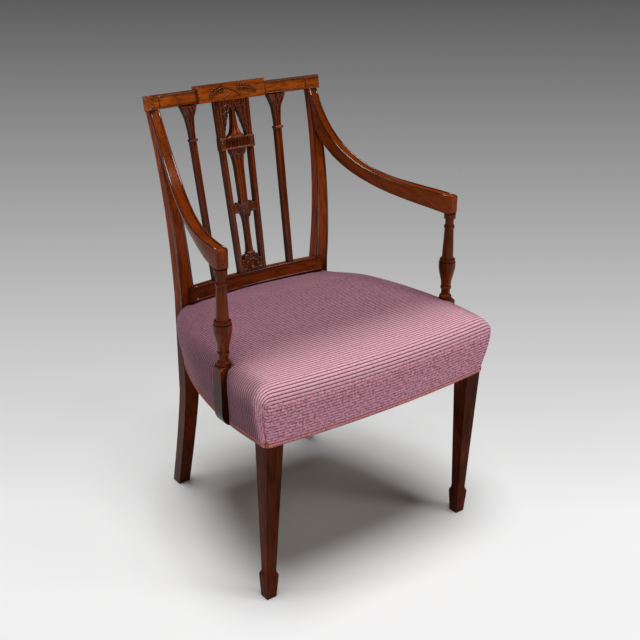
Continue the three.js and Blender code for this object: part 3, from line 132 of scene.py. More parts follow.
def strip_faces(rows, cols, flip):
    """Faces all round a strip whose rows run along it."""
    last = (rows - 1) * cols
    faces = grid_faces(rows, cols)
    faces += [(last + i, last + i + 1, i + 1, i) for i in range(cols - 1)]
    return [f[::-1] for f in faces] if flip else faces


def strip_ends(rows, cols):
    return [tuple(range(0, rows * cols, cols)), tuple(range(rows * cols - 1, 0, -cols))]


def smoothstep(x, low, high):
    t = np.clip((np.asarray(x, float) - low) / (high - low), 0, 1)
    return t * t * (3 - 2 * t)


def ridge(w, width):
    return np.exp(-((w / width) ** 2))


def unit(v):
    return v / np.maximum(np.linalg.norm(v, axis=-1, keepdims=True), 1e-9)


def run_along(points):
    """The length along a line of points, from the first to each one."""
    return np.concatenate([[0], np.cumsum(np.linalg.norm(np.diff(points, axis=0), axis=1))])


def at_lengths(wanted, points):
    run = run_along(points)
    return np.column_stack([np.interp(wanted, run, column) for column in points.T])


# ---------------------------------------------------------------- materials


class Nodes:
    """A material's node tree with short calls for the nodes used here."""

    def __init__(self, name):
        self.material = bpy.data.materials.new(name)
        self.material.use_nodes = True
        self.tree = self.material.node_tree
        self.shader = self.tree.nodes["Principled BSDF"]
        self.coords = self.node("ShaderNodeTexCoord").outputs["Object"]

    def node(self, kind, **settings):
        node = self.tree.nodes.new(kind)
        for key, value in settings.items():
            setattr(node, key, value)
        return node

    def feed(self, socket, value):
        if isinstance(value, bpy.types.NodeSocket):
            self.tree.links.new(value, socket)
        else:
            socket.default_value = value

    def finish(self, values):
        for name, value in values.items():
            self.feed(self.shader.inputs[name], value)
        return self.material

    def math(self, operation, *values):
        node = self.node("ShaderNodeMath", operation=operation)
        for socket, value in zip(node.inputs, values):
            self.feed(socket, value)
        return node.outputs[0]

    def plus(self, a, b):
        return self.math("ADD", a, b)

    def minus(self, a, b):
        return self.math("SUBTRACT", a, b)

    def times(self, a, b):
        return self.math("MULTIPLY", a, b)

    def size(self, a):
        return self.math("ABSOLUTE", a)

    def off_middle(self, a):
        """How far a repeating value is from the middle of its repeat."""
        return self.size(self.minus(self.math("FRACT", a), 0.5))

    def dot(self, a, b):
        node = self.node("ShaderNodeVectorMath", operation="DOT_PRODUCT")
        self.feed(node.inputs[0], a)
        self.feed(node.inputs[1], b)
        return node.outputs["Value"]

    def split(self, vector):
        node = self.node("ShaderNodeSeparateXYZ")
        self.feed(node.inputs[0], vector)
        return node.outputs

    def cords(self):
        """The UV map: millimetres along the cords or the braid, and cords or share across."""
        return self.split(self.node("ShaderNodeUVMap", uv_map="cords").outputs[0])

    def combine(self, x, y, z=0.0):
        node = self.node("ShaderNodeCombineXYZ")
        for socket, value in zip(node.inputs, (x, y, z)):
            self.feed(socket, value)
        return node.outputs[0]

    def noise(self, vector, scale, detail=3.0, roughness=0.55, distortion=0.0):
        node = self.node("ShaderNodeTexNoise")
        for name, value in zip(
            ("Vector", "Scale", "Detail", "Roughness", "Distortion"),
            (vector, scale, detail, roughness, distortion),
        ):
            self.feed(node.inputs[name], value)
        return node.outputs["Fac"]

    def flecks(self, along, cord, long, across, detail=2.0, roughness=0.55):
        """Noise drawn out along the cords."""
        space = self.combine(self.times(along, long), self.times(cord, across))
        return self.noise(space, 1.0, detail, roughness)

    def ramp(self, value, low, high, to_low=0.0, to_high=1.0):
        node = self.node("ShaderNodeMapRange", interpolation_type="SMOOTHSTEP")
        for name, v in zip(
            ("Value", "From Min", "From Max", "To Min", "To Max"),
            (value, low, high, to_low, to_high),
        ):
            self.feed(node.inputs[name], v)
        return node.outputs[0]

    def layers(self, colour, *coats):
        """Coats of colour, each with the share in which it hides what is below."""
        for share, over in coats:
            node = self.node("ShaderNodeMix", data_type="RGBA")
            self.feed(node.inputs[0], share)
            for socket, value in ((node.inputs[6], colour), (node.inputs[7], over)):
                linked = isinstance(value, bpy.types.NodeSocket)
                self.feed(socket, value if linked else (*value, 1))
            colour = node.outputs[2]
        return colour

    def bump(self, height, strength, distance, normal=None):
        node = self.node("ShaderNodeBump")
        self.feed(node.inputs["Strength"], strength)
        self.feed(node.inputs["Distance"], distance)
        self.feed(node.inputs["Height"], height)
        if normal is not None:
            self.feed(node.inputs["Normal"], normal)
        return node.outputs[0]

    def bevel(self, radius):
        """A softened normal, and how far it agrees with the face's own."""
        node = self.node("ShaderNodeBevel", samples=6)
        node.inputs["Radius"].default_value = radius
        own = self.node("ShaderNodeNewGeometry").outputs["True Normal"]
        return node.outputs[0], self.dot(node.outputs[0], own)


# Painted shade, with some dirt, falls on a place from wood within this reach.
HOLLOW_REACH = 0.01  # over which neighbouring wood darkens a place


def grained_wood(
    name, along, dark, middle, light, roughness, coat,
    shine=0.2, edge=0.0009, hollow_shade_share=0.75, outline=0.8, low=0.0,
):  # fmt: skip
    """Wood whose grain runs along a direction: streaks, pores, softened edges, and painted light
    and shade:
    shade in hollows (with some dirt), beside edges, in sunk places and low down, highlights on
    edges and proud places. The last three arguments are the shares of painted shade in hollows,
    beside edges and below the seat."""
    n = Nodes(name)
    axis = Vector(along).normalized()
    side = axis.orthogonal().normalized()
    lengthways, across, deep = (n.dot(n.coords, tuple(v)) for v in (axis, side, axis.cross(side)))

    def stretched(scale, stretch, distortion=0.0, detail=4.0):
        space = n.combine(n.times(lengthways, 1 / stretch), across, deep)
        return n.noise(space, scale, detail, 0.6, distortion)

    def darker(share):
        return tuple(c * share for c in dark)

    streaks = stretched(230.0, 14.0, 0.6)
    bands = stretched(38.0, 7.0, 1.2, 3.0)
    cloud = stretched(9.0, 2.0, 0.4, 2.0)
    pores = stretched(900.0, 22.0, 0.0, 2.0)
    tone = n.plus(n.times(streaks, 0.55), n.times(bands, 0.45))
    glow = n.times(n.ramp(cloud, 0.36, 0.7, 0.1, 0.8), n.ramp(streaks, 0.36, 0.6, 0.3, 1.0))
    # Painted shade with some dirt: darker and rougher where neighbouring wood closes round a place.
    hollow = n.node("ShaderNodeAmbientOcclusion", samples=6, only_local=False)
    hollow.inputs["Distance"].default_value = HOLLOW_REACH
    hollow_grime_and_shade = n.ramp(hollow.outputs["AO"], 0.25, 0.8, hollow_shade_share, 0.0)
    # the depth below the surroundings, which carries painted shade and highlight
    sunk = n.node("ShaderNodeAttribute", attribute_name="sunk").outputs["Fac"]
    soft, turned = n.bevel(edge)
    # Painted shade: a dark band beside each edge, where shade falls in the quirks of mouldings;
    # outline sets its share.
    edge_shade_band = n.ramp(n.bevel(edge * 3)[1], 0.9, 0.992, outline, 0.0)
    colour = n.layers(
        dark,
        (n.ramp(tone, 0.34, 0.6), middle),
        (glow, light),
        (n.ramp(pores, 0.62, 0.72, 0.0, 0.55), darker(0.35)),
        # painted shade in hollows, with some dirt
        (hollow_grime_and_shade, darker(0.12)),
        # painted shade in sunk places, and a painted highlight on proud ones
        (n.ramp(sunk, 0.15, 1.25, 0.0, 0.9), darker(0.2)),
        (n.ramp(sunk, -0.2, -1.3, 0.0, 0.3), light),
        # painted shade beside the edges
        (n.times(edge_shade_band, n.ramp(bands, 0.3, 0.55, 0.55, 1.0)), darker(0.25)),
        # Painted highlight with edge wear: rounded edges lighter where the streaks allow.
        (n.times(n.ramp(turned, 0.78, 0.9, 0.5, 0.0), n.ramp(streaks, 0.4, 0.6, 0.2, 1.0)), light),
        # Painted shade: darker below the seat, by the share low.
        (n.ramp(n.dot(n.coords, (0, 0, 1)), 0.5, 0.4, 0.0, low), darker(0.4)),
    )
    uneven = n.ramp(cloud, 0.3, 0.7, roughness - 0.06, roughness + 0.08)
    relief = n.plus(n.times(streaks, 0.7), n.times(pores, -0.5))
    return n.finish({
        "Base Color": colour,
        "Roughness": n.plus(uneven, n.times(hollow_grime_and_shade, 0.35)),
        "Coat Weight": coat,
        "Coat Roughness": 0.09,
        "Specular IOR Level": shine,
        "Specular Tint": (1.0, 0.72, 0.5, 1),
        "Normal": n.bump(relief, 0.22, 0.00025, soft),
    })  # fmt: skip


def look(base, dark=None, middle=None, light=None, **more):
    """A finish that changes some of another's colours and values."""
    tones = {"dark": dark, "middle": middle, "light": light}
    return {**base, **{key: value for key, value in tones.items() if value}, **more}


MAHOGANY = look(
    dict(roughness=0.28, coat=0.16),
    (0.022, 0.0036, 0.0012), (0.14, 0.0195, 0.0028), (0.36, 0.06, 0.005),
)  # fmt: skip
ARMS = look(
    MAHOGANY, (0.085, 0.013, 0.0022), (0.17, 0.026, 0.003), (0.35, 0.062, 0.004),
    coat=0.1, shine=0.07,
)  # fmt: skip
# low: painted shade on the posts below the seat.
POSTS = look(
    MAHOGANY, (0.06, 0.0085, 0.001), (0.235, 0.03, 0.002), (0.5, 0.082, 0.004),
    coat=0.06, shine=0.08, low=0.75,
)  # fmt: skip
# low: painted shade low down on the arm supports.
TURNED = look(MAHOGANY, middle=(0.12, 0.0165, 0.002), coat=0.1, shine=0.1, low=0.8)
BEADS = look(MAHOGANY, (0.05, 0.0078, 0.0015), roughness=0.22, coat=0.9, shine=0.35, outline=0.3)
# A lighter, more orange copy of the mahogany: painted light on the crest rail, its beads and wheat
# ears, which lean back into the light.
LIT_CREST = look(MAHOGANY, (0.12, 0.019, 0.0028), (0.29, 0.046, 0.0042), (0.8, 0.185, 0.01))
# A darker copy of the mahogany: painted shade on the front legs and on the carvings' sawn walls and
# backs.
SHADE_DARKENED = look(
    MAHOGANY, (0.013, 0.0023, 0.001), (0.065, 0.0095, 0.002), (0.17, 0.028, 0.004),
    coat=0.0, shine=0.04,
)  # fmt: skip
CARVED = look(
    MAHOGANY, (0.03, 0.0045, 0.0012), (0.145, 0.02, 0.0025), (0.34, 0.055, 0.004),
    roughness=0.22, coat=0.6, shine=0.18,
)  # fmt: skip
BEECH = look(
    dict(roughness=0.72, coat=0.0, edge=0.0007, outline=0.25),
    (0.21, 0.13, 0.075), (0.34, 0.22, 0.13), (0.44, 0.3, 0.19),
)  # fmt: skip
UPRIGHT, LEANING, ACROSS = (0, 0.02, 1), (0, 0.19, 0.98), (1, 0, 0)
wood = {
    name: grained_wood(name, along, **finish)
    for name, along, finish in (
        ("mahogany_upright", UPRIGHT, POSTS),
        ("mahogany_bead", (0.3, 0.3, 0.9), BEADS),
        ("mahogany_stay", ACROSS, look(MAHOGANY, shine=0.12)),
        ("mahogany_turned", UPRIGHT, TURNED),
        ("mahogany_leg", UPRIGHT, SHADE_DARKENED),
        ("mahogany_carved", LEANING, CARVED),
        ("mahogany_sawn", LEANING, SHADE_DARKENED),
        ("mahogany_across", ACROSS, LIT_CREST),
        ("mahogany_arm_right", (0.19, -0.9, -0.4), ARMS),
        ("mahogany_arm_left", (-0.19, -0.9, -0.4), ARMS),
        ("beech_across", ACROSS, BEECH),
        ("beech_deep", (0.12, 1, 0), BEECH),
    )
}


def dulled_steel():
    n = Nodes("dulled_steel")
    spots = n.noise(n.coords, 900.0, 4.0)
    rust = (n.ramp(spots, 0.4, 0.65), (0.13, 0.085, 0.06))
    return n.finish({
        "Base Color": n.layers((0.38, 0.36, 0.33), rust),
        "Metallic": 0.85,
        "Roughness": n.ramp(spots, 0.3, 0.7, 0.35, 0.7),
        "Normal": n.bump(spots, 0.3, 0.0002),
    })  # fmt: skip


def ribbed_cloth():
    """Corded cloth, with painted light on the front of the top and on the front wall, and painted
    shade in the grooves, on the cords' flanks, at the sides and towards the back.
    """
    n = Nodes("ribbed_cloth")
    along, cord = n.cords()[:2]
    off_crown = n.off_middle(cord)
    # Painted shade in the grooves between cords.
    groove_shade = n.ramp(off_crown, 0.27, 0.46)
    gap = n.ramp(n.off_middle(n.plus(n.times(along, 0.42), n.times(off_crown, 1.9))), 0.32, 0.5)
    fibre = n.noise(n.coords, 2600.0, 2.0)
    patch = n.noise(n.coords, 16.0, 4.0, 0.6)
    slub = n.noise(n.combine(n.times(along, 0.09), n.math("FLOOR", cord)), 1.0, 3.0)
    dash = n.flecks(along, cord, 0.16, 1.7)
    tick = n.flecks(along, cord, 0.2, 1.3, 3.0, 0.6)
    aside, ahead, height = n.split(n.coords)
    # Painted light: the front of the top paler, where it faces the light.
    lit_front_top = n.times(n.ramp(height, 0.405, 0.452), n.ramp(ahead, -0.1, -0.25))
    # Painted light: the front wall lighter, as if lit from the front; the cloth's ticks and broken
    # grooves are kept to it.
    lit_front_wall = n.times(n.ramp(height, 0.445, 0.425), n.ramp(ahead, -0.22, -0.245))
    # Painted shade on the side walls.
    sides = n.times(n.ramp(n.size(aside), 0.235, 0.272), n.ramp(ahead, -0.243, -0.225))
    gone = n.ramp(n.flecks(along, cord, 0.12, 0.9), 0.42, 0.56, 0.75, 0.0)
    deep_groove_shade = n.times(n.times(groove_shade, 0.8), n.minus(1.0, n.times(lit_front_wall, gone)))
    colour = n.layers(
        (0.50, 0.25, 0.315),
        # painted shade on the cords' flanks
        (n.ramp(off_crown, 0.05, 0.42), (0.27, 0.105, 0.155)),
        (n.ramp(slub, 0.35, 0.7, 0.0, 0.5), (0.30, 0.105, 0.165)),
        (n.ramp(dash, 0.5, 0.62, 0.0, 0.62), (0.15, 0.045, 0.08)),
        (n.times(gap, 0.45), (0.17, 0.05, 0.09)),
        # painted shade in the grooves
        (n.times(groove_shade, 0.9), (0.05, 0.012, 0.025)),
        (n.ramp(fibre, 0.35, 0.7, 0.0, 0.3), (0.55, 0.29, 0.36)),
        (n.ramp(patch, 0.38, 0.66, 0.0, 0.3), (0.36, 0.17, 0.22)),
        # painted light on the front of the top
        (n.times(lit_front_top, 0.77), (1.0, 0.54, 0.645)),
        # painted light on the front wall
        (n.times(lit_front_wall, 0.7), (0.95, 0.42, 0.56)),
        (n.times(lit_front_wall, n.ramp(tick, 0.5, 0.62, 0.0, 0.6)), (0.17, 0.045, 0.1)),
        (n.times(lit_front_wall, n.ramp(tick, 0.46, 0.36, 0.0, 0.5)), (1.0, 0.56, 0.66)),
        (n.times(lit_front_top, n.ramp(tick, 0.5, 0.64, 0.0, 0.35)), (0.3, 0.1, 0.16)),
        # painted shade on the side walls
        (n.times(sides, 0.5), (0.13, 0.055, 0.075)),
        # painted shade: darker towards the back of the seat
        (n.ramp(ahead, -0.05, 0.2, 0.0, 0.34), (0.11, 0.05, 0.065)),
        # deeper painted shade in the grooves, broken up on the front wall
        (deep_groove_shade, (0.035, 0.009, 0.018)),
    )
    return n.finish({
        "Base Color": colour,
        "Roughness": 0.86,
        "Specular IOR Level": 0.2,
        "Sheen Weight": 0.15,
        "Sheen Roughness": 0.45,
        "Sheen Tint": (0.95, 0.72, 0.8, 1),
        "Normal": n.bump(n.minus(n.times(fibre, 0.25), n.times(gap, 0.8)), 0.55, 0.0006),
    })  # fmt: skip


LOOP = 4.7  # of the braid's cords


def braid_yarn():
    n = Nodes("braid_yarn")
    along, over = n.cords()[:2]
    half = n.size(n.minus(over, 0.5))
    ridge = n.off_middle(n.plus(n.times(along, 1 / LOOP), n.times(half, 1.2)))
    fibre = n.noise(n.coords, 3000.0, 2.0)
    speck = n.noise(n.combine(n.times(along, 0.8), over), 1.6, 2.0)
    colour = n.layers(
        (0.74, 0.17, 0.035),
        # painted shade between the loops of the cords
        (n.ramp(ridge, 0.12, 0.42), (0.12, 0.02, 0.009)),
        (n.ramp(speck, 0.5, 0.62, 0.0, 0.8), (0.05, 0.014, 0.012)),
        # painted shade in the crease between the two cords
        (n.ramp(half, 0.08, 0.0, 0.0, 0.6), (0.06, 0.018, 0.014)),
        (n.ramp(fibre, 0.4, 0.7, 0.0, 0.35), (0.55, 0.25, 0.13)),
    )
    relief = n.minus(n.times(fibre, 0.3), ridge)
    return n.finish({
        "Base Color": colour,
        "Roughness": 0.7,
        "Sheen Weight": 0.1,
        "Normal": n.bump(relief, 0.5, 0.0006),
    })  # fmt: skip


def woven(name, base, shade, pitch, herringbone=False):
    """Plain weave or herringbone in the plane of X and Y, threads a pitch apart in metres."""
    n = Nodes(name)
    x, y = (n.math("DIVIDE", part, pitch) for part in n.split(n.coords)[:2])
    if herringbone:
        zig = n.math("PINGPONG", n.math("DIVIDE", y, 4.0), 1.0)
        line = n.off_middle(n.plus(n.math("DIVIDE", x, 2.0), n.times(zig, 2.0)))
        height = n.ramp(line, 0.05, 0.4, 1.0, 0.0)
    else:
        height = n.math("MAXIMUM", *(n.size(n.math("SINE", n.times(v, math.pi))) for v in (x, y)))
    fibre = n.noise(n.coords, 1500.0, 3.0)
    stain = n.noise(n.coords, 14.0, 4.0)
    # Painted shade: the low places between threads take the darker colour, which the stains take
    # too.
    colour = n.layers(
        shade,
        (height, base),
        (n.ramp(fibre, 0.4, 0.7, 0.0, 0.3), tuple(min(1, c * 1.35) for c in base)),
        (n.ramp(stain, 0.45, 0.7, 0.0, 0.4), shade),
    )
    return n.finish({
        "Base Color": colour,
        "Roughness": 0.92,
        "Sheen Weight": 0.15,
        "Normal": n.bump(n.plus(height, n.times(fibre, 0.4)), 0.6, 0.0005),
    })  # fmt: skip


steel = dulled_steel()
cloth = ribbed_cloth()
yarn = braid_yarn()
jute = woven("jute_webbing", (0.47, 0.37, 0.25), (0.2, 0.145, 0.09), 0.0011, herringbone=True)
sacking = woven("hessian_weave", (0.4, 0.29, 0.17), (0.14, 0.09, 0.05), 0.0013)

# ---------------------------------------------------------------- the solids that stay


def dress(name, material, angle=35):
    """A material, and smooth shading up to an angle in degrees."""
    obj = nodes[name]
    mesh = obj.data
    if "custom_normal" in mesh.attributes:
        mesh.attributes.remove(mesh.attributes["custom_normal"])
    mesh.polygons.foreach_set("use_smooth", [True] * len(mesh.polygons))
    for slot in obj.material_slots:
        slot.material = material
    weld = obj.modifiers.new("weld", "WELD")
    weld.merge_threshold = 1e-6
    split = obj.modifiers.new("edges", "EDGE_SPLIT")
    split.split_angle = math.radians(angle)
    split.use_edge_sharp = False


WOODS = {
    "back_post": "mahogany_upright",
    "front_leg": "mahogany_leg",
    "crest_rail": "mahogany_across",
    "stay_rail": "mahogany_stay",
    "splat": "mahogany_carved",
    "back_bar": "mahogany_carved",
    "arm_support": "mahogany_turned",
    "arm_plug": "mahogany_carved",
    "front_rail": "beech_across",
    "back_rail": "beech_across",
    "side_rail": "beech_deep",
    "front_corner_block": "beech_across",
    "rear_corner_block": "beech_across",
}
for name in nodes:
    stem = name.removesuffix("_left").removesuffix("_right")
    if "screw" in name:
        dress(name, steel, 40)
    elif stem == "arm":
        dress(name, wood["mahogany_" + name])
    elif stem in WOODS:
        dress(name, wood[WOODS[stem]])

# ---------------------------------------------------------------- plan of the seat

FRONT_LINE, SEAT_DEPTH, WIDEST, REAR = -232.0, 418.0, 266.0, 182.0
FRONT_BOW, FRONT_HALF = 14.0, 261.8
POST_LINE = FRONT_LINE + SEAT_DEPTH
RAIL_BOTTOM, RAIL_TOP = 342.0, 405.0
CLOTH_OUT, SWELL, EDGE_HEIGHT, CROWN, ROLL = 2.5, 11.5, 459.0, 11.0, 26.0
FALL, FALL_RUN, CORNER = 10.0, 110.0, 7.0
POST_INNER, GAP = 155.0, 0.3
BLOCK_FRONT, BLOCK_BACK, BLOCK_INNER = -124.5, -97.5, 255.0
SWEEP = np.array([[0, 0.05], [0.256, 0], [0.555, 0.18], [0.842, 0.6], [1, 1]])
SWELL_SHARES = (
    [0, 0.1026, 0.2, 0.3, 0.43, 0.56, 0.64, 0.72],
    [0, 0, 0.2, 0.42, 0.68, 0.87, 0.955, 1],
)
WALL_TOP = RAIL_BOTTOM + SWELL_SHARES[0][-1] * (EDGE_HEIGHT - RAIL_BOTTOM)
WALL_OUT, WALL_ROUND = CLOTH_OUT + SWELL, CORNER * 1.5  # of the plan at the head of the wall
TRACE_PAST = 80  # how far the side's line is carried on past both ends


def side_trace():
    """Points along the right side with their outward normals, carried on past both ends."""
    p = np.stack([WIDEST - (WIDEST - REAR) * SWEEP[:, 1], FRONT_LINE + SEAT_DEPTH * SWEEP[:, 0]], 1)
    fine = []
    last = len(p) - 1
    for k in np.linspace(0, last, 4001):
        i = min(int(k), last)
        w = k - i
        p0, p1, p2, p3 = (p[min(max(i + j, 0), last)] for j in (-1, 0, 1, 2))
        v0, v1 = (p2 - p0) * 0.5, (p3 - p1) * 0.5
        cubic = (2 * p1 - 2 * p2 + v0 + v1) * w**3
        fine.append(cubic + (-3 * p1 + 3 * p2 - 2 * v0 - v1) * w**2 + v0 * w + p1)
    fine = np.array(fine)
    trace = at_lengths(np.linspace(0, run_along(fine)[-1], 241), fine)
    ahead = trace[0] + unit(trace[0] - trace[1]) * TRACE_PAST
    behind = trace[-1] + unit(trace[-1] - trace[-2]) * TRACE_PAST
    trace = np.vstack([ahead, trace, behind])
    slope = np.gradient(trace, axis=0)
    return trace, unit(np.stack([slope[:, 1], -slope[:, 0]], 1))


TRACE, NORMAL = side_trace()


def side_half(y, out):
    moved = TRACE + NORMAL * out
    return np.interp(y, moved[:, 1], moved[:, 0])


def front_line(x):
    return FRONT_LINE - FRONT_BOW * (1 - (x / FRONT_HALF) ** 2)


def outline(t, out, rounding):
    """A point of the plan's right half, moved out, its corner rounded: t 0 to 1 along the front,
    to 2 round the corner, to 3 along the side."""
    corner = float(side_half(FRONT_LINE, out))
    before = corner - rounding
    start = front_line(corner) - out + rounding
    if t <= 1:
        x = before * t
        return np.array([x, front_line(x) - out])
    if t <= 2:
        a = (before, front_line(before) - out)
        b = (corner, front_line(corner) - out)
        return bezier(a, b, (float(side_half(start, out)), start), t - 1)
    y = start + (BACK_LINE + out - start) * (t - 2)
    return np.array([float(side_half(y, out)) - max(0.0, out - CLOTH_OUT) * pinch(y), y])


def bezier(a, b, c, t):
    a, b, c = map(np.array, (a, b, c))
    return a * (1 - t) ** 2 + 2 * b * t * (1 - t) + c * t * t


def pinch(y):
    """Share of the swell that is drawn in where the cloth is nailed round a block."""
    spread = 26 if y < BLOCK_FRONT else 16
    reach = max(BLOCK_FRONT - y, y - BLOCK_BACK, 0.0)
    return 0.62 * math.exp(-((reach / spread) ** 2))


def wall(z):
    """How far out the wall stands at a height, and how its corner is rounded."""
    rise = (z - RAIL_BOTTOM) / (EDGE_HEIGHT - RAIL_BOTTOM)
    swell = float(np.interp(rise, *SWELL_SHARES))
    return CLOTH_OUT + SWELL * swell, CORNER * (1 + swell / 2) + (0 if swell > 0.02 else CLOTH_OUT)


def fallen(y, z):
    raised = max(0.0, z - RAIL_BOTTOM) / (EDGE_HEIGHT - RAIL_BOTTOM)
    return z - FALL * float(smoothstep(y, POST_LINE - FALL_RUN, POST_LINE)) * raised


def top_form():
    """A fine mesh of the seat's upper surface, from the head of the wall to the middle."""
    ts = [np.linspace(t, t + 1, count, endpoint=False) for t, count in ((0, 40), (1, 16))]
    ts = np.concatenate([*ts, np.linspace(2, 3, 90)])
    rings = []
    for theta in np.linspace(0, math.pi / 2, 19):
        back = ROLL * (1 - math.cos(theta))
        z = WALL_TOP + (EDGE_HEIGHT - WALL_TOP) * math.sin(theta)
        right = [outline(t, WALL_OUT - back, WALL_ROUND + back / 2) for t in ts]
        rings.append([(p[0], p[1], fallen(p[1], z)) for p in right])
    rim = [p[:2] for p in rings[-1]]
    centre = (FRONT_LINE + BACK_LINE) / 2
    for left in np.linspace(0.96, 0.02, 28):
        z = EDGE_HEIGHT + CROWN * (1 - left**2.6)
        ring = [(x * left, centre + (y - centre) * left) for x, y in rim]
        rings.append([(x, y, fallen(y, z)) for x, y in ring])
    points = []
    for ring in rings:
        points += ring + [(-x, y, z) for x, y, z in reversed(ring)]
    count = 2 * len(ts)
    faces = grid_faces(len(rings), count, closed=True)
    points.append((0, centre, fallen(centre, EDGE_HEIGHT + CROWN)))
    last = (len(rings) - 1) * count
    faces += [(last + i, last + (i + 1) % count, len(points) - 1) for i in range(count)]
    return BVHTree.FromPolygons([Vector(p) for p in points], faces)


TOP = top_form()


def top_height(x, y):
    hit = TOP.ray_cast(Vector((x, y, 600)), Vector((0, 0, -1)))[0]
    return hit.z if hit else fallen(y, WALL_TOP)


# ---------------------------------------------------------------- seat cover

PITCH = 6.4  # from cord to cord
STEP = PITCH / 8  # from row to row
CORD = 1.9  # height of a cord above its grooves
PLEAT = 1.5  # on the corner, as outline() counts
PLEAT_DEPTH, PLEAT_HALF, PLEAT_FADE = 1.3, 2.5, 4.0
START = FRONT_LINE - FRONT_BOW - WALL_OUT  # the cover's front
ROLL_COLS, FLAT_COLS = 12, 30
LEVELS = [*np.linspace(WALL_TOP, RAIL_BOTTOM + 12, 11)[1:], RAIL_BOTTOM + 6, RAIL_BOTTOM]
EDGE_TS = np.concatenate([np.linspace(1, 2, 200, endpoint=False), np.linspace(2, 3, 900)])
EDGE = np.array([outline(t, WALL_OUT, WALL_ROUND) for t in EDGE_TS])


def cord_height(s):
    t = np.mod(s / PITCH, 1.0)
    return CORD * np.sqrt(np.clip(1 - (2 * t - 1) ** 2, 0, 1))


def pleated(lift, distance):
    """The cords' lift near a pleat, where they fade and the cloth sinks in."""
    faded = lift * (1 - ridge(distance, PLEAT_FADE))
    return faded - PLEAT_DEPTH * ridge(distance, PLEAT_HALF)


def raised(points, lift, first):
    """A grid of points moved out of its own surface; first is the axis that turns it outwards."""
    slopes = [np.gradient(points, axis=axis) for axis in (first, 1 - first)]
    return points + unit(np.cross(*slopes)) * lift[:, :, None]


def stations():
    """Rows across the chair, from the front roll over the top to the back roll: the length of cloth
    up to each and how far back it lies."""
    turn = np.linspace(0, math.pi / 2, 181)
    roll = np.stack([ROLL * (1 - np.cos(turn)), (EDGE_HEIGHT - WALL_TOP) * np.sin(turn)], 1)
    run = run_along(roll)
    flat = BACK_LINE + WALL_OUT - ROLL - (START + ROLL)
    total = run[-1] * 2 + flat
    for k in range(int(total / STEP) + 1):
        s = k * STEP
        if s < run[-1]:
            yield s, float(np.interp(s, run, roll[:, 0]))
        elif s < run[-1] + flat:
            yield s, ROLL + s - run[-1]
        else:
            yield s, ROLL + flat + ROLL - float(np.interp(total - s, run, roll[:, 0]))


def bowed(x, r):
    """Where a row lies front to back: it follows the bow in front and is straight further in."""
    keep = 1 - float(smoothstep(r, 10, 150))
    return START + r + FRONT_BOW * (x / FRONT_HALF) ** 2 * keep


def row_end(r):
    over = EDGE[:, 1] - np.array([bowed(x, r) for x in EDGE[:, 0]])
    i = int(np.argmax(over >= 0))
    return EDGE_TS[i], EDGE[i]


def half_row(r, drop, clamp):
    """Half a row, from the middle to the foot of the wall, and where it ends on the plan. On the
    back wall, drop is the row's y and z. Clamp is where the cloth is cut in for a block or post."""
    t, end = row_end(r) if drop is None else (3, (POST_INNER, 0))
    limit = min(end[0], clamp) if clamp else end[0]
    start = end[0] - ROLL * 1.15
    turn = np.linspace(0, 1, ROLL_COLS, endpoint=False) * math.pi / 2
    flat = np.linspace(0, start, FLAT_COLS, endpoint=False)
    xs = [*flat, *(start + (end[0] - start) * np.sin(turn))]
    if drop is not None:
        return t, [(min(x, limit), *drop) for x in xs] + [(limit, *drop)] * len(LEVELS)
    points = []
    for x in (min(x, limit) for x in xs):
        y = bowed(x, r)
        points.append((x, y, top_height(min(x, end[0] - 0.02), y)))
    for z in LEVELS:
        if clamp and end[0] > clamp:
            y = bowed(limit, r)
            low = top_height(limit, y)
            share = (low - RAIL_BOTTOM) / (WALL_TOP - RAIL_BOTTOM)
            points.append((limit, y, low - (WALL_TOP - z) * share))
        elif t < PLEAT:
            points.append((end[0], end[1], fallen(end[1], WALL_TOP)))
        else:
            p = outline(t, *wall(z))
            points.append((p[0], p[1], fallen(p[1], z)))
    return t, points


def cover_rows():
    """Length of cloth, distance back, drop and clamp of each row."""
    rows = []
    notch = GAP + 0.1
    for s, r in stations():
        y = bowed(BLOCK_INNER, r)
        clamp = BLOCK_INNER - GAP if BLOCK_FRONT - notch < y < BLOCK_BACK + notch else None
        if y > POST_LINE - GAP:
            clamp = POST_INNER - GAP
        if rows and rows[-1][3] != clamp:
            # the same place twice, with and without the notch, so that the cloth turns in squarely
            rows.append((s, r, None, rows[-1][3]))
        rows.append((s, r, None, clamp))
    top_end = rows[-1][0]
    down = int((WALL_TOP - RAIL_BOTTOM) * 0.9 / STEP)
    for k in range(1, down + 1):
        z = WALL_TOP + (RAIL_BOTTOM - WALL_TOP) * k / down
        y = BACK_LINE + wall(z)[0]
        rows.append((top_end + k * STEP, None, (y, fallen(y, z)), POST_INNER - GAP))
    return rows


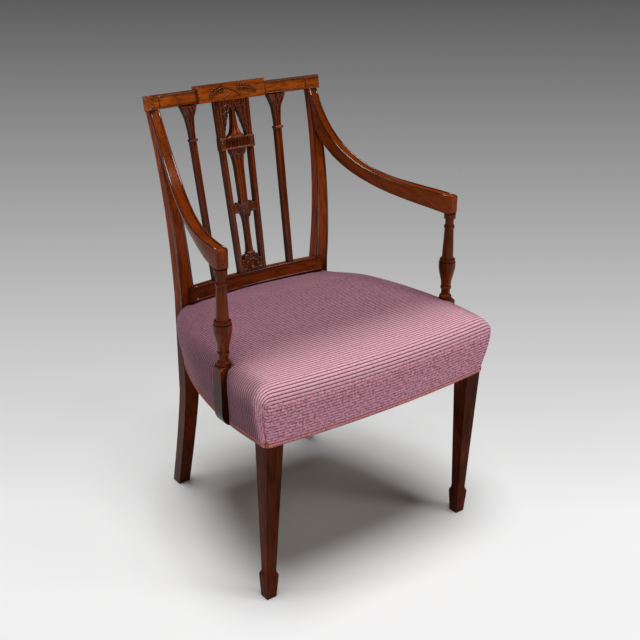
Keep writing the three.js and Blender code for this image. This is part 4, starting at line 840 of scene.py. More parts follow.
def seat_cover():
    rows = cover_rows()
    grid, t_at, run_at = [], [], []
    for _, *row in rows:
        t, half = half_row(*row)
        half = np.array(half)
        run = run_along(half)
        grid.append(np.vstack([half[:0:-1] * [-1, 1, 1], half]))
        t_at.append(t)
        run_at.append(np.concatenate([-run[:0:-1], run]))
    points, t_at, run_at = np.array(grid), np.array(t_at), np.array(run_at)
    s_at = np.array([row[0] for row in rows])
    cols = points.shape[1]
    # the cords stand on the plain form, and sink into a pleat at each front corner
    lift = np.repeat(cord_height(s_at)[:, None], cols, 1)
    pleat_row = int(np.argmax(t_at >= PLEAT))
    from_pleat = np.abs(s_at - s_at[pleat_row])[:, None]
    on_wall = np.minimum(np.arange(cols), cols - 1 - np.arange(cols)) < len(LEVELS) + 2
    lift[:, on_wall] = pleated(lift[:, on_wall], from_pleat)
    to_end = run_at[:, -1:] - np.abs(run_at)
    short = t_at < PLEAT
    lift[short] *= np.clip(to_end[short] / 5.0, 0, 1)
    points = raised(points, lift, 1)

    def in_front(j, i):
        return j < pleat_row and min(i, cols - 2 - i) < len(LEVELS)

    faces = grid_faces(len(rows), cols, skip=in_front)
    uv = np.stack([run_at, np.repeat((s_at / PITCH)[:, None], cols, 1)], 2)

    # the front wall, from pleat to pleat, its cords level
    corner = [t for t in t_at[: pleat_row + 1] if t > 1]
    before = float(side_half(FRONT_LINE, WALL_OUT)) - WALL_ROUND
    first = grid[0][len(LEVELS) : cols - len(LEVELS), 0]
    fronts = [x / before for x in first if abs(x) < before - 0.5]
    ts = sorted({*(-t for t in corner), *fronts, *corner})
    zs = np.linspace(WALL_TOP, RAIL_BOTTOM, int((WALL_TOP - RAIL_BOTTOM) / STEP) + 1)
    front = []
    for z in zs:
        plan = [outline(abs(t), *wall(z)) for t in ts]
        front.append([(math.copysign(p[0], t), p[1], z) for t, p in zip(ts, plan)])
    front = np.array(front)
    run = run_along(front[0])
    run -= run[-1] / 2
    down = zs - WALL_TOP
    lift = np.repeat(cord_height(down)[:, None], len(ts), 1)
    to_end = (run[-1] - np.abs(run))[None, :]
    front = raised(front, pleated(lift, to_end), 0)
    faces += grid_faces(len(zs), len(ts), points.shape[0] * cols)
    front_uv = np.stack(np.broadcast_arrays(run[None, :], (down / PITCH)[:, None]), 2)

    all_points = np.vstack([points.reshape(-1, 3), front.reshape(-1, 3)])
    obj = mesh_object("seat_cover_cloth", all_points, faces)
    write_uv(obj, np.vstack([uv.reshape(-1, 2), front_uv.reshape(-1, 2)]))
    mesh = bmesh.new()
    mesh.from_mesh(obj.data)
    bmesh.ops.remove_doubles(mesh, verts=mesh.verts, dist=0.0001)
    mesh.to_mesh(obj.data)
    mesh.free()
    return obj


seat = finish_piece(seat_cover(), cloth, "cloth", "seat_cover", "stuffing")

# ---------------------------------------------------------------- gimp braid

BRAID_LOW, BRAID_HEIGHT = RAIL_BOTTOM, 10.0
BRAID_OUT = CLOTH_OUT + GAP
BRAID_STEP = 0.6
BRAID_ROUND = CORNER + CLOTH_OUT


def plan_path(from_t, to_t):
    """Evenly spaced points along the seat's plan, with the length run, between two places on it."""
    ts = np.linspace(from_t, to_t, 1600)
    p = [outline(abs(t), BRAID_OUT, BRAID_ROUND) * [math.copysign(1, t), 1] for t in ts]
    length = run_along(p)[-1]
    at = np.linspace(0, length, int(length / BRAID_STEP) + 1)
    return at_lengths(at, np.array(p)), at


def side_t(y):
    """Where on the plan, as outline() counts, the side passes a line across the chair."""
    start = outline(2, BRAID_OUT, BRAID_ROUND)[1]
    return 2 + (y - start) / (BACK_LINE + BRAID_OUT - start)


def braid(name, node, path, run, outwards=1):
    """Two crimped cords side by side on a flat tape."""
    slope = np.gradient(path, axis=0)
    normal = unit(np.stack([slope[:, 1], -slope[:, 0]], 1) * outwards)
    shares = [*np.linspace(0, 1, 15), 1.0, 0.0]  # across the face, then along the back
    points = []
    for row, share in enumerate(shares):
        z = np.full(len(path), BRAID_LOW + 0.4 + (BRAID_HEIGHT - 0.8) * share)
        lift = np.zeros(len(path))
        if row < 15:
            half = share * 2 % 1 if share < 1 else 1
            hump = math.sin(math.pi * half) ** 0.7 if 0 < share < 1 else 0
            lean = 1 if share > 0.5 else -1
            phase = 2 * math.pi * run / LOOP
            z += 0.45 * np.sin(phase) * (abs(share - 0.5) * 2) ** 3 * lean
            lift += 0.25 + 2.0 * hump * (0.7 + 0.3 * np.sin(phase + lean * half * 2.6))
        points.append(np.column_stack([path + normal * lift[:, None], z]))
    rows, cols = len(points), len(path)
    faces = strip_faces(rows, cols, flip=True) + strip_ends(rows, cols)
    obj = mesh_object(name, np.vstack(points), faces)
    write_uv(obj, np.vstack([np.column_stack([run, np.full(cols, share)]) for share in shares]))
    finish_piece(obj, yarn, "braid", node)


front_end = side_t(BLOCK_FRONT - 2 * GAP)
braid("gimp_front", "braid_front", *plan_path(-front_end, front_end))
path, run = plan_path(side_t(BLOCK_BACK + 2 * GAP), side_t(POST_LINE - 2 * GAP))
for side, sign in (("right", 1), ("left", -1)):
    braid("gimp_" + side, "braid_side_" + side, path * [sign, 1], run, sign)
half = POST_INNER - 2 * GAP
xs = np.arange(-half, half + 0.3, BRAID_STEP)
path = np.column_stack([-xs, np.full(len(xs), BACK_LINE + BRAID_OUT)])
braid("gimp_back", "braid_back", path, xs + half)

# ---------------------------------------------------------------- webbing and hessian

WEB_LOW = RAIL_TOP + GAP
WEB_HIGH = WEB_LOW + 1.9  # where a strap passes over another
WEB_THICK = 1.6
RUNS = {"across": (0, 3), "along": (1, 4)}  # the axis along which straps run, and their number


def middle(node, axis):
    low, high = box_mm(node)
    return float(low[axis] + high[axis]) / 2


middles = {
    way: sorted(middle(f"webbing_{way}_{i + 1}", 1 - axis) for i in range(count))
    for way, (axis, count) in RUNS.items()
}


def strap(name, node, along, crossings, first_over):
    """A jute strap woven over and under the straps that cross it, its edges a little uneven."""
    low, high = box_mm(node)
    across = 1 - along
    wide = high[across] - low[across]
    at = np.append(np.arange(low[along], high[along], 1.5), high[along])
    lift = np.zeros(len(at))
    for k, crossing in enumerate(crossings):
        if (k % 2 == 0) == first_over:
            reach = np.abs(at - crossing)
            lift = np.maximum(lift, 1 - smoothstep(reach, wide / 2 + 0.6, wide / 2 + 9))
    shares = np.linspace(-1, 1, 21)
    points = []
    for face, order in ((1, shares), (-1, shares[::-1])):
        for w in order:
            ripple = 0.12 * math.cos(w * 10 * math.pi) * (1 - abs(w) ** 8)
            edge = wide / 2 * w - 0.25 * w * (1 + np.sin(at * 0.31 + w)) * abs(w) ** 4
            thick = WEB_THICK / 2 * (1 + face * (0.86 + ripple) * (1 - 0.5 * abs(w) ** 20))
            p = np.zeros((len(at), 3))
            p[:, along], p[:, across] = at, middle(node, across) + edge
            p[:, 2] = WEB_LOW + (WEB_HIGH - WEB_LOW) * lift + thick
            points.append(p)
    rows, cols = len(points), len(at)
    ends = strip_ends(rows, cols)
    if along == 0:
        ends = [f[::-1] for f in ends]
    faces = strip_faces(rows, cols, flip=along == 0) + ends
    return finish_piece(mesh_object(name, np.vstack(points), faces), jute, "webbing", node)


for way, (axis, count) in RUNS.items():
    crossings = middles["along" if way == "across" else "across"]
    for i in range(1, count + 1):
        node = f"webbing_{way}_{i}"
        place_in_order = middles[way].index(middle(node, 1 - axis))
        over_first = place_in_order % 2 == axis
        strap(f"strap_{way}_{i}", node, axis, crossings, over_first)

SACK_MARGIN = 6.0
SACK_THICK, SACK_DIP = 0.7, 1.1
BESIDE_STRAP = 26  # from a strap's middle to where the sacking starts to dip


def hessian_sheet(low, high):
    """Sacking stretched over the straps and nailed along the rails, dipping between them."""
    rows, cols = 100, 121
    top = []
    for y in np.linspace(low[1] + 0.2, high[1] - 0.2, rows):
        half = float(side_half(y, -SACK_MARGIN))
        if y > POST_LINE - 1.2:
            half = POST_INNER - 1.2
        if BLOCK_FRONT - 1 < y < BLOCK_BACK + 1:
            half = min(half, BLOCK_INNER - 1.0)
        front = FRONT_LINE - FRONT_BOW + SACK_MARGIN
        if y < FRONT_LINE + SACK_MARGIN:
            half = min(half, FRONT_HALF * math.sqrt(max(0.0, (y - front) / FRONT_BOW)))
        xs = np.linspace(-half, half, cols)
        sag = np.zeros(cols)
        for x0, x1 in zip(middles["along"], middles["along"][1:]):
            for y0, y1 in zip(middles["across"], middles["across"][1:]):
                u = (xs - x0 - BESIDE_STRAP) / (x1 - x0 - 2 * BESIDE_STRAP)
                v = (y - y0 - BESIDE_STRAP) / (y1 - y0 - 2 * BESIDE_STRAP)
                dip = np.sin(math.pi * np.clip(u, 0, 1)) * math.sin(math.pi * min(max(v, 0), 1))
                sag = np.where((u > 0) & (u < 1) & (0 < v < 1), dip, sag)
        top.append(np.column_stack([xs, np.full(cols, y), high[2] - 0.15 - SACK_DIP * sag]))
    top = np.vstack(top)
    count = len(top)
    faces = grid_faces(rows, cols)
    faces += [tuple(v + count for v in reversed(f)) for f in faces]
    index = np.arange(count).reshape(rows, cols)
    rim = [*index[0], *index[1:, -1], *index[-1, -2::-1], *index[-2:0:-1, 0]]
    faces += [(b, a, a + count, b + count) for a, b in zip(rim, rim[1:] + rim[:1])]
    return mesh_object("hessian_sheet", np.vstack([top, top - [0, 0, SACK_THICK]]), faces)


low, high = box_mm("hessian")
hessian = finish_piece(hessian_sheet(low, high), sacking, "hessian", "hessian")

# ---------------------------------------------------------------- plan of the back

RAKE = math.radians(10.94)
STAY_TOP, STAY_HEIGHT = 484.0, 32
BOW_SCALE = 1360  # twice the radius of the bow across the back
PANEL, CREST_HEIGHT = 362.0, 28.5  # from stay rail to crest rail, and the crest rail's own
TABLET_PROUD, TABLET_HEAD = 3.5, 34.2


def bow(x):
    """How far rails, bars and crest curve forward beside the middle."""
    return x * x / BOW_SCALE


STAY_LINE = POST_LINE + bow(POST_INNER) * math.cos(RAKE)


def on_back(x, back, up):
    """A point of the leaning back: across, backwards out of its plane, and up along it."""
    y = STAY_LINE + back * math.cos(RAKE) + up * math.sin(RAKE)
    return x, y, STAY_TOP - back * math.sin(RAKE) + up * math.cos(RAKE)


def face_back(x):
    return -TABLET_PROUD - bow(x)


# ---------------------------------------------------------------- carving on the crest rail

SIDES = 12  # of a stem or bead


def ringed(path, outs, radii):
    """A round stem: rings about a path, closed at both ends; outs point away from the wood."""
    path, outs = np.array(path, float), np.array(outs, float)
    side = unit(np.cross(outs, np.gradient(path, axis=0)))
    turn = np.arange(SIDES)[:, None] * 2 * math.pi / SIDES
    ring = side[:, None] * np.cos(turn) + outs[:, None] * np.sin(turn)
    faces = grid_faces(len(path), SIDES, closed=True)
    faces += [tuple(range(SIDES))[::-1], tuple((len(path) - 1) * SIDES + k for k in range(SIDES))]
    return (path[:, None] + np.array(radii)[:, None, None] * ring).reshape(-1, 3), faces


def tube(path, radii):
    """A round stem along points given as (x, back, up), flattened against the wood."""
    points, faces = ringed(path, [(0, -1, 0)] * len(path), radii)
    return np.column_stack(on_back(*points.T)), faces


def rod(path, outs, radius):
    """A half-sunk bead along a path in the drawing."""
    ahead = unit(np.gradient(path, axis=0))
    outs = unit(outs - ahead * (outs * ahead).sum(1)[:, None])
    return ringed(path, outs, [radius] * len(path))


def gather(parts):
    points, faces = [], []
    for p, f in parts:
        faces += [tuple(v + len(points) for v in face) for face in f]
        points += list(p)
    return points, faces


def planted(name, parts, darken, material="mahogany_bead"):
    """Small relief on a piece of wood, with painted shade along its foot and a faint painted
    highlight on its crown.
    """
    obj = finish_piece(mesh_object(name, *gather(parts)), wood[material], "mahogany")
    turn = np.arange(len(obj.data.vertices)) % SIDES * 2 * math.pi / SIDES
    # painted shade on the flanks of each ring, where the bead meets the wood; the crown slightly
    # negative for a painted highlight
    write_painted_shading(obj, darken * np.cos(turn) ** 2 - 0.3)


def grain_of_corn(x, up, back, direction, length, width):
    """One plump grain, pointed at its tip."""
    t = np.linspace(0, 1, 8)
    run, rise = (length * t * part for part in (math.cos(direction), math.sin(direction)))
    path = np.column_stack([x + run, np.full(8, back), up + rise])
    plump = np.sin(math.pi * np.minimum(1, 0.08 + t * 0.92)) ** 0.8
    return tube(path, width / 2 * plump * (1 - 0.35 * t))


def wheat_ears():
    for rise, spine, stem in (
        (1.0, ((-17, 388), (-36, 386), (-55, 371)), ((-17, 388), (4, 386), (21, 369))),
        (0.4, ((15, 384), (38, 388), (60, 372)), ((15, 384), (-4, 380), (-19, 365))),
    ):
        line = bezier(*spine, np.linspace(0, 1, 8)[:, None])
        for i, ((x, up), ahead) in enumerate(zip(line, np.diff(line, axis=0))):
            angle = math.atan2(ahead[1], ahead[0])
            size = 1 - 0.35 * (i / 7) ** 2
            for lean in (-0.55, 0, 0.55):
                off = 2.9 * size * np.sign(lean)
                ox, oy = -math.sin(angle) * off, math.cos(angle) * off
                back = face_back(x) - (0.3 if lean else 1.0)
                yield grain_of_corn(x + ox, up + oy, back, angle + lean, 9.4 * size, 4.3 * size)
        t = np.linspace(0, 1, 16)
        x, up = bezier(*stem, t[:, None]).T
        path = np.column_stack([x, face_back(x) - rise * (1 - np.abs(t - 0.5)), up])
        yield tube(path, np.linspace(1.2, 1.75, 16))


planted("wheat_ears", wheat_ears(), 2.3, "mahogany_across")


def crest_beads():
    """Cock beads: round each end panel of the crest rail and up both ends of the tablet."""
    low, high = PANEL + 2.3, PANEL + CREST_HEIGHT - 2.3
    inner, outer, tablet_end = 85.5, 176.0, 81.0
    radius, sunk = 1.05, 0.35
    for sign in (-1, 1):
        for up in (low, high):
            xs = np.linspace(inner, outer, 24)
            yield tube([(sign * x, sunk - bow(x), up) for x in xs], [radius] * len(xs))
        yield tube([(sign * outer, sunk - bow(outer), up) for up in (low, high)], [radius] * 2)
        ends = (PANEL - 0.2, PANEL + TABLET_HEAD)
        yield tube([(sign * tablet_end, face_back(tablet_end) + 0.3, up) for up in ends], [1.5] * 2)


planted("crest_beads", crest_beads(), 1.9, "mahogany_across")

# ---------------------------------------------------------------- mouldings along arms and back

BEAD = 2.5
PROUD = 0.6
ARM_HEAD, ARM_TIP = np.array((190.5, 247.55, 846.0)), np.array((270.0, -122.0, 680.5))
ARM_NOSE, ARM_STEPS = 7, 19
ARM_WIDTH, ARM_WIDENS, ARM_TIP_WIDTH = 21.6, 2.9, 22.5
POST_WIDTH, POST_NARROWS = 33, 12
POST_LEAN, POST_SPREAD = 63.95, 13  # of the post's head, backwards and outwards
ARM_ROUTE = np.array([
    (0, 0, 0), (0.024, 0.087, 0.332), (0.126, 0.207, 0.62), (0.312, 0.359, 0.831),
    (0.555, 0.533, 0.946), (0.801, 0.717, 0.987), (0.945, 0.87, 0.996), (1, 1, 1),
])  # fmt: skip


def arm_line():
    """The middle of the arm's top at the stations of its solid, so that beads lie on its facets."""
    knots = ARM_HEAD + ARM_ROUTE * (ARM_TIP - ARM_HEAD)
    knots = np.vstack([2 * knots[0] - knots[1], knots, 2 * knots[-1] - knots[-2]])
    t = np.linspace(0, 1, 40, endpoint=False)[:, None]
    places = []
    for p0, p1, p2, p3 in zip(knots, knots[1:], knots[2:], knots[3:]):
        a, b, c = (np.linalg.norm(q - p) ** 0.5 for p, q in ((p0, p1), (p1, p2), (p2, p3)))
        start = ((p1 - p0) / a - (p2 - p0) / (a + b) + (p2 - p1) / b) * b
        end = ((p2 - p1) / b - (p3 - p1) / (b + c) + (p3 - p2) / c) * b
        square, cube = 3 * (p2 - p1) - 2 * start - end, 2 * (p1 - p2) + start + end
        places.append(p1 + start * t + square * t**2 + cube * t**3)
    places = np.vstack([*places, knots[-2:-1]])
    length = run_along(places)[-1]
    wanted = np.linspace(0, length - ARM_NOSE, ARM_STEPS)
    return wanted / length, at_lengths(wanted, places)


def arm_beads(sign):
    share, line = arm_line()
    ahead = unit(np.gradient(line, axis=0))
    across = unit(np.cross((0, 0, 1), ahead))
    outs = np.cross(ahead, across)
    wide = ARM_WIDTH + ARM_WIDENS * smoothstep(share, 0, 0.4)
    wide += (ARM_TIP_WIDTH - wide) * smoothstep(share, 0.7, 1)
    mirror = np.array([sign, 1, 1])
    for edge in (-1, 1):
        path = line + across * (edge * (wide / 2 - BEAD))[:, None] + outs * (PROUD - BEAD)
        yield rod(path * mirror, outs * mirror, BEAD)


def post_beads():
    zs = np.linspace(RAIL_TOP + 12, STAY_TOP + PANEL * math.cos(RAKE) - 3, 40)
    lean = np.clip((zs - STAY_TOP) / (PANEL * math.cos(RAKE)), 0, 1)
    front = POST_LINE + POST_LEAN * lean**2.1
    wide = POST_WIDTH - POST_NARROWS * lean
    centre = REAR + 6 + POST_SPREAD * lean**0.75 - wide / 2
    for sign in (-1, 1):
        for edge in (-1, 1):
            x = sign * (centre + edge * (wide / 2 - BEAD))
            path = np.column_stack([x, front + BEAD - PROUD, zs])
            yield rod(path, np.tile((0.0, -1.0, 0.0), (len(zs), 1)), BEAD)


def rail_beads():
    """Along both edges of the stay rail and of the crest rail's end panels."""
    out = np.subtract(on_back(0, -1, 0), on_back(0, 0, 0))
    for low, high, ends in (
        (-STAY_HEIGHT, 0, [(-153.0, 153.0)]),
        (PANEL, PANEL + CREST_HEIGHT, [(-202.0, -84.0), (84.0, 202.0)]),
    ):
        for up in (low + BEAD, high - BEAD):
            for pair in ends:
                xs = np.linspace(*pair, 40)
                path = [on_back(x, BEAD - PROUD - bow(x), up) for x in xs]
                yield rod(path, np.tile(out, (len(xs), 1)), BEAD)


planted("arm_beads_right", arm_beads(1), 2.6)
planted("arm_beads_left", arm_beads(-1), 2.6)
planted("post_beads", post_beads(), 2.6)
planted("rail_beads", rail_beads(), 2.6)

# ---------------------------------------------------------------- carved panels of the back


def blurred(grid, reach):
    """Mean over a square around each place."""
    wide = 2 * reach + 1
    for axis in (0, 1):
        pad = [(0, 0), (0, 0)]
        pad[axis] = (reach + 1, reach)
        run = np.cumsum(np.pad(grid, pad, mode="edge"), axis=axis)
        count = run.shape[axis]
        ahead = np.take(run, range(wide, count), axis)
        grid = (ahead - np.take(run, range(count - wide), axis)) / wide
    return grid


ARRIS = 0.9  # rounding of the relief's edges


def carved(name, node, shape, half, high, pitch, thick, position, flip=False):
    """A slab carved in relief, polished in front, its sawn walls and back dull and dark with
    painted shade, its hollows darkened with painted shade too. shape gives, at places across and up
    it, how far outside the outline they are and how far forward the surface stands; position puts
    x, forward and up in the drawing."""
    low = 0.3
    xs = np.arange(-half, half + pitch, pitch)
    us = np.arange(low, high + pitch, pitch)
    x, u = np.meshgrid(xs, np.minimum(us, high))
    outside = shape(x, u)[0]
    inside = outside < 0.5 * pitch
    near = np.abs(outside) < 0.6 * pitch
    step = 0.02
    for _ in range(3):  # moves places near the outline onto it
        d = shape(x, u)[0]
        gx, gu = (shape(x + step, u)[0] - d) / step, (shape(x, u + step)[0] - d) / step
        size = np.maximum(gx**2 + gu**2, 0.2)
        move = np.where(near, d, 0)
        dx, du = (np.clip(move * g / size, -0.4 * pitch, 0.4 * pitch) for g in (gx, gu))
        x, u = x - dx, np.clip(u - du, low, high)
    depth, forward = shape(x, u)
    forward = forward - ARRIS * np.clip(1 + depth / ARRIS, 0, 1) ** 2
    weight = (depth < 0.1).astype(float)
    mean = blurred(np.where(weight > 0, forward, 0), 5) / np.maximum(blurred(weight, 5), 1e-3)
    cell = inside[:-1, :-1] & inside[1:, :-1] & inside[:-1, 1:] & inside[1:, 1:]
    index = np.arange(inside.size).reshape(inside.shape)
    a, b, c, e = index[:-1, :-1], index[:-1, 1:], index[1:, 1:], index[1:, :-1]
    quads = np.stack([corner[cell] for corner in (a, b, c, e)], 1)
    padded = np.pad(cell, 1)
    rim = []
    for neighbour, p, q in (
        (padded[:-2, 1:-1], a, b),
        (padded[1:-1, 2:], b, c),
        (padded[2:, 1:-1], c, e),
        (padded[1:-1, :-2], e, a),
    ):
        edge = cell & ~neighbour
        rim.append(np.stack([p[edge], q[edge]], 1))
    used, quads = np.unique(quads, return_inverse=True)
    quads = quads.reshape(-1, 4)
    rim = np.searchsorted(used, np.vstack(rim))
    px, pf, pu, sunk = (v.ravel()[used] for v in (x, forward, u, mean - forward))
    front, rear = position(px, pf, pu), position(px, np.full(len(px), -thick), pu)
    n = len(used)
    p, q = rim[:, 0], rim[:, 1]
    walls = np.stack([q + 2 * n, p + 2 * n, p + 3 * n, q + 3 * n], 1)
    kept, faces = np.unique(np.vstack([quads, quads[:, ::-1] + n, walls]), return_inverse=True)
    faces = faces.reshape(-1, 4)
    if flip:
        faces = faces[:, ::-1]
    obj = mesh_object(name, np.vstack([front, rear, front, rear])[kept], faces.tolist())
    # painted shade: hollows darker by how far they lie below the mean around them, the walls darker
    # still; the back has none
    write_painted_shading(obj, np.concatenate([sunk, np.zeros(n), np.full(2 * n, 0.5)])[kept])
    finish_piece(obj, wood["mahogany_carved"], "mahogany", node)
    # the back and walls take a darker copy of the mahogany: painted shade
    obj.data.materials.append(wood["mahogany_sawn"])
    sawn = (np.arange(len(faces)) >= len(quads)).astype(np.int32)
    obj.data.polygons.foreach_set("material_index", sawn)


class Relief:
    """The union of carved members over a grid of places."""

    def __init__(self, x):
        self.outside = np.full(x.shape, 99.0)
        self.forward = np.full(x.shape, -20.0)

    def add(self, forward, *sides):
        """A member that stands so far forward; each side gives how far places are outside it."""
        outside = np.maximum.reduce(np.broadcast_arrays(*sides))
        higher = np.maximum(self.forward, forward)
        self.forward = np.where(outside < 0.2, higher, self.forward)
        self.outside = np.minimum(self.outside, outside)


def reeds(w, count, power=0.7):
    return np.abs(np.sin(math.pi * count * (np.clip(w, -1, 1) + 1) / 2)) ** power


def dome(w):
    return np.sqrt(np.clip(1 - w * w, 0, 1))


def from_centre(share):
    """From -1 to 1 across each repeat, 0 at its middle."""
    return (np.mod(share, 1) - 0.5) * 2


def curve(t, *pairs):
    return np.interp(t, *zip(*pairs))


SPLAT_FOOT, SPLAT_FLARE, REED_WIDTH = 34.5, 8, 12
SPLAT_TOP = PANEL - 1.3
FRIEZE_TOP, FRIEZE_HALF = PANEL * 0.79, 12.5
FRIEZE_LOW = FRIEZE_TOP - 2 * FRIEZE_HALF
BOSS = 35.4  # from the middle of the frieze to that of an end block
CLUSTER = PANEL * 0.376
FOOT = CLUSTER + 12  # of the torch
STEM_TOP, FAN_TOP = CLUSTER, 36


def carve_uprights(r, ax, outer):
    """A round reed between two fine beads."""
    w = (ax - outer + 6) / 6
    reed = 0.5 + 2.5 * dome(w / 0.52)
    bead = 0.3 + 1.5 * dome((np.abs(w) - 0.77) / 0.22)
    r.add(np.where(np.abs(w) < 0.52, reed, bead), np.abs(w) * 6 - 6)


def carve_drapery(r, ax, u, t, inner):
    """Pleats, their edge falling in lobes."""
    spread = curve(
        t, (0.02, 0.08), (0.16, 0.13), (0.37, 0.31), (0.575, 0.52), (0.77, 0.77), (1, 1.02)
    )
    lobe = (u - FRIEZE_TOP + 3) / 12.6
    fallen_edge = 1.3 * np.sin(math.pi * (1 - np.mod(lobe, 1))) ** 0.7 * np.clip(t * 3, 0, 1)
    width = (inner - 4.6) * spread + 1.2 + fallen_edge
    q = np.clip((inner - ax) / width, 0, 1)
    pleats = 2.4 * q + 0.25 * np.mod(lobe - 0.6 * q, 1)
    fold = 0.2 + 2.6 * np.abs(np.sin(math.pi * pleats)) ** 0.6
    vein = np.clip((np.abs(from_centre(lobe - 0.9 * q)) - 0.8) / 0.2, 0, 1)
    fold = fold - 1.3 * vein * np.clip(q * 3, 0, 1)
    r.add(fold, inner - width - ax, ax - inner - 1.5, FRIEZE_TOP - 1 - u)


def carve_bottle(r, x, u, t):
    """Two lobes at its foot, a slim neck, a bud of three leaves."""
    half = 4.6 * curve(
        t, (-0.02, 5.4), (0.03, 3.9), (0.08, 2.9), (0.14, 2.25), (0.24, 1.7), (0.36, 1.36),
        (0.6, 1), (0.74, 1.02), (0.79, 1.3), (0.84, 1.85), (0.9, 2.0), (0.96, 1.75), (1, 1.4),
    )  # fmt: skip
    w = x / half
    neck = 0.9 + 3.8 * dome(w)
    lobes = 0.4 + 2.2 * reeds(w, 2) + 1.8 * dome(w) + 3.4 * ridge(t - 0.06, 0.13) * dome(w * 0.9)
    bud = 1.2 + 3.6 * np.abs(np.cos(1.5 * math.pi * np.clip(w, -1, 1))) ** 0.5 * dome(w * 0.92)
    low, top = smoothstep(-t, -0.5, -0.1), smoothstep(t, 0.76, 0.81)
    body = neck * (1 - low) + lobes * low
    r.add(body * (1 - top) + bud * top, np.abs(x) - half, FRIEZE_TOP - 2 - u)


def carve_torch(r, x, u):
    """Three reeds under the frieze, and leaf tips over their shoulder."""
    t = (u - FOOT) / (FRIEZE_LOW + 1.5 - FOOT)
    half = 9 + 11.5 * curve(
        t, (0, 0), (0.35, 0.06), (0.65, 0.14), (0.76, 0.25), (0.84, 0.4), (0.91, 0.62),
        (0.96, 0.82), (1, 1.04),
    )  # fmt: skip
    r.add(0.4 + 2.8 * reeds(x / half, 3, 0.6), np.abs(x) - half, FOOT - 3 - u, u - FRIEZE_LOW - 2)
    for i in (-2, -1, 0, 1, 2):
        long = 21 * (1 - 0.14 * abs(i))
        turn = -i * math.radians(9)
        lx, lu = x - 8.1 * i, FRIEZE_LOW + 1 - u
        along = lu * math.cos(turn) + lx * math.sin(turn)
        aside = lx * math.cos(turn) - lu * math.sin(turn)
        e = (aside / 4.2) ** 2 + ((along - long * 0.42) / (long * 0.58)) ** 2 - 1
        leaf = 1.6 + 4.4 * np.sqrt(np.clip(-e, 0, 1)) - 1.6 * ridge(aside, 0.7)
        r.add(leaf, e * 2.2, u - FRIEZE_LOW - 1)


def carve_frieze(r, x, u):
    """Hollow flutes between fillets, a boss on each end block."""
    ax = np.abs(x)
    from_line = np.abs(u - FRIEZE_TOP + FRIEZE_HALF)
    lift = FRIEZE_HALF - from_line
    flute = np.abs(from_centre((x + 28.8) / 57.6 * 9))
    flutes = 4.3 - 2.6 * dome(flute / 0.8) * np.sqrt(np.clip((lift - 3.2) / 2.6, 0, 1))
    block = np.where(np.maximum(np.abs(ax - BOSS), from_line) < 4.9, 3.4, 4.8)
    boss = 3.0 + 2.6 * dome(np.hypot(ax - BOSS, from_line) / 3.9)
    frieze = np.where(ax > 29.2, np.maximum(block, boss), flutes)
    fillet = 3.6 + 1.8 * dome((lift - 1.5) / 1.6)
    r.add(np.where((lift < 3.1) & (ax < 43), fillet, frieze), ax - 42, -lift)


def carve_cup(r, x, u, inner):
    """Lugs, and three tiers of leaves between them."""
    lug = 1.0 + 0.5 * dome((u - CLUSTER) / 9.6)
    r.add(lug, np.abs(x) - inner - 1, np.abs(u - CLUSTER) - 9.5)
    reach, turn = np.hypot(x, u - CLUSTER + 40), np.arctan2(x, u - CLUSTER + 40)
    for shift, tip, raise_by in ((0.0, 56.0, 0.0), (0.5, 47.0, 0.9), (0.0, 36.0, 1.7)):
        off = from_centre(turn / math.radians(9.2) + 0.5 + shift)
        limit = tip - 7.0 * off**2
        leaf = -0.6 + raise_by + 4.0 * dome(off * 0.98) ** 0.8 - 0.8 * ridge(off, 0.12)
        leaf = leaf + 0.7 * np.clip((reach - limit + 9) / 9, 0, 1) ** 2
        r.add(leaf, reach - limit, 22 - reach, (np.abs(turn) - math.radians(21)) * reach)


def carve_fan(r, x, u, inner):
    """Half a fan on its base, with a knob and a small collar above."""
    r.add(3.2, np.abs(x) - inner - 1, u - 7, 0.3 - u)
    reach, turn = np.hypot(x, u - 4), np.arctan2(x, u - 4)
    far = np.hypot(27 * np.sin(turn), 37 * np.cos(turn))
    for shift, share, raise_by in ((0.0, 1.0, 0.0), (0.5, 0.66, 1.0)):
        off = from_centre(turn / math.radians(25.2) + 0.5 + shift)
        limit = far * share * (1 - 0.13 * off**2)
        edge = 1.2 * ridge(np.abs(off) - 0.72, 0.16) - 1.2 * ridge(off, 0.13)
        leaf = 0.7 + raise_by + 2.2 * dome(off * 0.97) ** 0.7 + edge
        r.add(leaf + 0.8 * ridge(reach - limit + 2.4, 2), reach - limit, 3 - u, -reach)
    knob = np.hypot(x, u - 6)
    r.add(2.5 + 3.0 * dome(knob / 6.2), knob - 6, 3 - u)
    r.add(1.6 + 1.9 * dome((u - 39.5) / 2.3), np.abs(x) - 9.5, np.abs(u - 39.5) - 2.2)


def splat_shape(x, u):
    r = Relief(x)
    ax = np.abs(x)
    outer = SPLAT_FOOT + SPLAT_FLARE * u / PANEL
    inner = outer - REED_WIDTH
    t = (u - FRIEZE_TOP) / (SPLAT_TOP - FRIEZE_TOP)
    carve_uprights(r, ax, outer)
    carve_drapery(r, ax, u, t, inner)
    carve_bottle(r, x, u, t)
    carve_torch(r, x, u)
    carve_frieze(r, x, u)
    carve_cup(r, x, u, inner)
    t = (u - FAN_TOP) / (STEM_TOP - FAN_TOP)
    half = 6 * curve(
        t, (0, 1.45), (0.08, 1.2), (0.2, 1.02), (0.5, 0.95), (0.72, 1.08), (0.84, 1.4), (0.9, 1.55)
    )
    r.add(0.8 + 2.2 * dome(x / half), ax - half, FAN_TOP - 2 - u, u - STEM_TOP + 8)
    carve_fan(r, x, u, inner)
    return r.outside, r.forward


def in_back(x, forward, up):
    return np.column_stack(on_back(x, -forward, up))


carved("carved_splat", "splat", splat_shape, 43.5, SPLAT_TOP, 0.55, 10.0, in_back)

